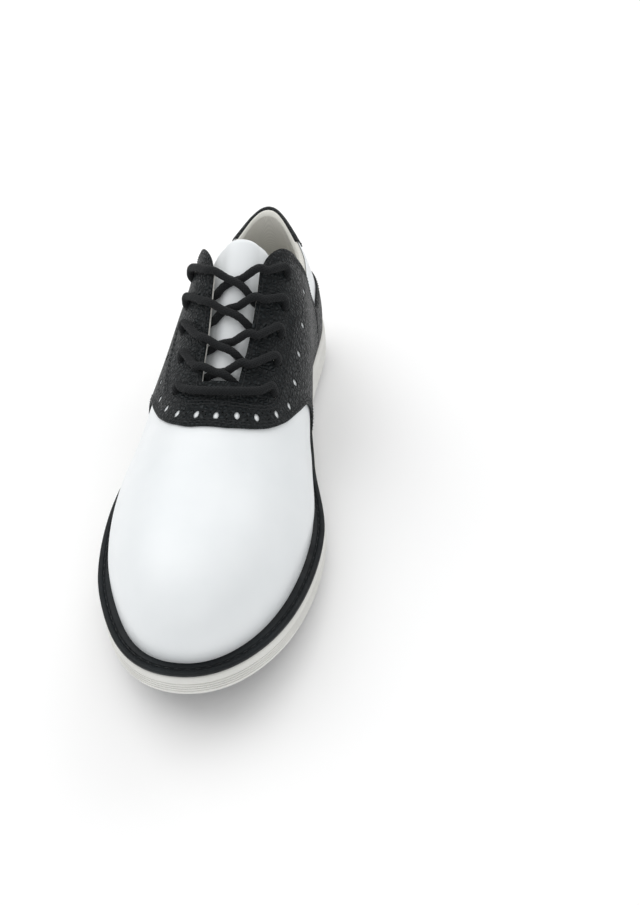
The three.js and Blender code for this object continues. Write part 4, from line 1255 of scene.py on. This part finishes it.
def lace_places():
    """The lace route as (station, angle, distance from the last)."""
    m, t = medial_eyelets, lateral_eyelets
    ms, ls = medial_strands, lateral_strands
    out = tail(m[0], 1)
    out += crossing(m[0], t[1], low_strand, ms[0]) + through(t[1], -1)[::-1]
    out += crossing(t[1], m[2], high_strand, ls[1]) + through(m[2], 1)[::-1]
    out += crossing(m[2], t[3], low_strand, ms[2]) + through(t[3], -1)[::-1]
    out += crossing(t[3], m[4], high_strand, ls[3]) + through(m[4], 1)[::-1]
    out += [(174, 69.5, ON_TOP), (177.8, 78, 8.1), (179.6, 87, 8.2), (179.8, 97, 8.2),
            (177.8, 106, 8.1), (175, 112, ON_TOP)]
    out += through(t[4], -1) + crossing(m[3], t[4], low_strand, ms[3])[::-1]
    out += through(m[3], 1) + crossing(t[2], m[3], high_strand, ls[2])[::-1]
    out += through(t[2], -1) + crossing(m[1], t[2], low_strand, ms[1])[::-1]
    out += through(m[1], 1) + crossing(t[0], m[1], high_strand, ls[0])[::-1]
    out += tail(t[0], -1)[::-1]
    return np.array(out, float)


def braid(nt, b):
    """Two crossing spirals of thread round the cord, with painted shade between them."""
    v = coords(nt)
    run = node(nt, "ShaderNodeAttribute", attribute_name="run")
    rc = node(nt, "ShaderNodeAttribute", attribute_name="ring_c")
    rs = node(nt, "ShaderNodeAttribute", attribute_name="ring_s")
    turn = math(nt, "ARCTAN2", rs.outputs["Fac"], rc.outputs["Fac"])
    a = math(nt, "SINE", math(nt, "ADD", math(nt, "MULTIPLY", turn, 8),
                              math(nt, "MULTIPLY", run.outputs["Fac"], 4.2)))
    c = math(nt, "SINE", math(nt, "SUBTRACT", math(nt, "MULTIPLY", turn, 8),
                              math(nt, "MULTIPLY", run.outputs["Fac"], 4.2)))
    h = math(nt, "MAXIMUM", a, c)
    h2 = math(nt, "ADD", math(nt, "MULTIPLY", h, 0.5), math(nt, "MULTIPLY", noise(nt, v, 2600, 2),
                                                            0.7))
    # Painted shade: the colour is darker where the spirals are low, between the threads.
    col = ramp(nt, math(nt, "MULTIPLY_ADD", h, 0.5), [(0.1, (0.0025, 0.003, 0.0035)),
                                                      (0.9, (0.0105, 0.012, 0.0135))])
    nt.links.new(col, b.inputs["Base Color"])
    bump(nt, b, h2, 0.8, 0.00035)


BRAID = material("lace_braid", (0.01, 0.01, 0.012), 0.8, braid, sheen=0.04, specular=0.25)


def lace():
    """Round braided lace with its two tips, laced through the eyelets."""
    places = lace_places()
    pts = on_last(places[:, 0], np.radians(places[:, 1]), places[:, 2])
    path = resample(spline(pts, 14), 0.55)
    sides = 18
    ring = np.linspace(0, 2 * np.pi, sides, endpoint=False)
    run = np.r_[0, np.cumsum(np.linalg.norm(np.diff(path, axis=0), axis=1))]
    along = run[:, None]
    relief = 1 + 0.022 * np.sin(3 * ring[None, :] + along * 2.1) + 0.02 * np.sin(along * 0.9)
    verts, faces = tube(path, 2.02, sides, True, relief)
    ob = mesh_object("lace_cord", verts, faces, BRAID,
                     attrs={"run": np.repeat(run, sides),
                            "ring_c": np.tile(np.cos(ring), len(path)),
                            "ring_s": np.tile(np.sin(ring), len(path))}, smooth_angle=None)
    done(ob, nodes=["lace"])
    for end, before, name in ((pts[0], pts[1], "medial"), (pts[-1], pts[-2], "lateral")):
        d = (end - before) / np.linalg.norm(end - before)
        q = np.array([end + d * x for x in np.linspace(0.3, 11.3, 24)])
        taper = np.r_[0.86, 0.97, np.ones(19), 0.96, 0.85, 0.6]
        v, f = tube(q, 1.6, 16, True, np.tile(taper[:, None], (1, 16)))
        tip = mesh_object(f"lace_tip_{name}_sleeve", v, f, TIPS, smooth_angle=50)
        done(tip, nodes=[f"lace_tip_{name}"])
    return ob


for build in (midsole, outsole, lugs, welt, footbed, cleats, lace):
    build()

# ---------------------------------------------------------------- rows of thread on the upper
front_places = [(float(front(a)), a) for a in np.linspace(3, 177, 90)]
rows = [row_on_last(inside_edge(front_places, d)) for d in (1.9, 3.4)]


def flap_row(side, inside):
    """A row along the rear edge of a flap, that far inside it."""
    places = [tuple(float(x) for x in wing_place(g, 0, side)) for g in np.linspace(0.05, 0.95, 90)]
    return inside_edge(places, -side * inside)


u_seam = [(127, 51.5), (142, 53.2), (154, 54.0), (163.5, 54.6), (171, 56.4), (177.6, 60.5),
          (182.4, 70.5), (184.2, 83.5), (184.2, 96), (182.6, 108), (178.5, 117), (171.5, 125.5),
          (163, 129.6), (154.5, 131.4), (143, 133.6), (129.5, 136)]
seam_path = spline(np.c_[np.array(u_seam), np.zeros(len(u_seam))], 8)[:, :2]
rows += [row_on_last(inside_edge(seam_path, inside)) for inside in (0.0, 1.7)]
for side in (1, -1):
    rows += [row_on_last(flap_row(side, inside)) for inside in (2.0, 3.5)]
    rows.append(row_on_last([(u, MIDDLE - side * (float(throat_half(u)) + 2.6))
                             for u in np.linspace(123, 175, 40)]))
done(stitches("saddle_stitches", rows, THREAD_B))


def painted_seam_shade(name, lines, mat, radius=0.42):
    """Painted shade of the pressed seam lines: dark tubes sunk under the rows of thread."""
    verts, faces = [], []
    for pts, nor in lines:
        q = resample(np.asarray(pts) - 0.30 * np.asarray(nor), 1.4)
        v, f = tube(q, radius, 6)
        faces += [tuple(x + len(verts) for x in g) for g in f]
        verts += v.tolist()
    return done(mesh_object(name, verts, faces, mat))


# Dark tubes under the rows of thread: painted shade of the seam grooves.
painted_seam_shade("saddle_seam_shade", rows, HOLE_AND_SEAM_SHADE)



def heel_row(reach, samples, height):
    """A row round the heel, at height(w)."""
    w = np.linspace(-reach, reach, samples)
    h = height(np.abs(w))
    p = on_heel(w, h, OVER_OUT)
    n = on_heel(w, h, OVER_OUT + 1) - p
    return p, n / np.linalg.norm(n, axis=1)[:, None]


heel_rows = [heel_row(59, 260, lambda w, d=d: counter_top(w) - d) for d in (2.0, 4.2)]
heel_rows.append(heel_row(33, 160, lambda w: tab_bottom(w) + 2.0))
done(stitches("heel_stitches", heel_rows, THREAD_B))

# ---------------------------------------------------------------- finishes of the kept CAD pieces
finishes = {"toe_puff": BOARD, "insole_board": BOARD, "counter_stiffener": BOARD,
            "cork_filler": CORK}
finishes.update({f"socket_{n}": CLEAT for n, _, _ in cleat_places})
for name, mat in finishes.items():
    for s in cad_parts[name].material_slots:
        s.material = mat

# ---------------------------------------------------------------- floor, light and camera
scene = bpy.context.scene


def panel(name, size, energy, at, target, colour=(1, 1, 1)):
    """Soft square light aimed at a point."""
    light = bpy.data.lights.new(name, "AREA")
    light.shape, light.size, light.size_y = "RECTANGLE", size[0], size[1]
    light.energy, light.color = energy, colour
    ob = bpy.data.objects.new(name, light)
    scene.collection.objects.link(ob)
    ob.location = at
    ob.rotation_euler = (Vector(target) - Vector(at)).to_track_quat("-Z", "Y").to_euler()
    return ob


floor_mat = material("floor_paper", (0.96, 0.96, 0.96), 0.9)
floor = mesh_object("floor", [(-3000, -3000, -0.05), (3000, -3000, -0.05), (3000, 3000, -0.05),
                              (-3000, 3000, -0.05)], [(0, 1, 2, 3)],
                    floor_mat, smooth_angle=None)
panel("key", (1.5, 1.5), 12, (-0.75, 0.35, 1.45), (0, 0, 0.03))
panel("front_fill", (1.6, 1.2), 3.8, (0.45, -1.4, 1.0), (0, 0, 0.05))
panel("back", (1.4, 0.8), 6, (0.5, 1.3, 1.2), (0, 0, 0.08))
world = bpy.data.worlds.new("studio")
scene.world = world
world.use_nodes = True
world.node_tree.nodes["Background"].inputs["Color"].default_value = (1, 1, 1, 1)
world.node_tree.nodes["Background"].inputs["Strength"].default_value = 0.66
scene.view_settings.view_transform = "Standard"

cam_data = bpy.data.cameras.new("camera")
cam = bpy.data.objects.new("camera", cam_data)
scene.collection.objects.link(cam)
scene.camera = cam
cam_data.sensor_width = 36
cam_data.lens = 31.29
cam_data.shift_y = 0.0125
cam_data.clip_start = 0.01
pitch, roll = np.radians(45.76), np.radians(-0.51)
look = Vector((-0.1155 * np.cos(pitch), 0.9933 * np.cos(pitch), -np.sin(pitch))).normalized()
right = Vector((0.9933, 0.1155, 0)).normalized()
up = right.cross(look)
cr, sr = float(np.cos(roll)), float(np.sin(roll))
right, up = right * cr + up * sr, up * cr - right * sr
turned_to = Matrix((right, up, -look)).transposed().to_4x4()
cam.matrix_world = Matrix.Translation((0.0836, -0.3071, 0.3325)) @ turned_to
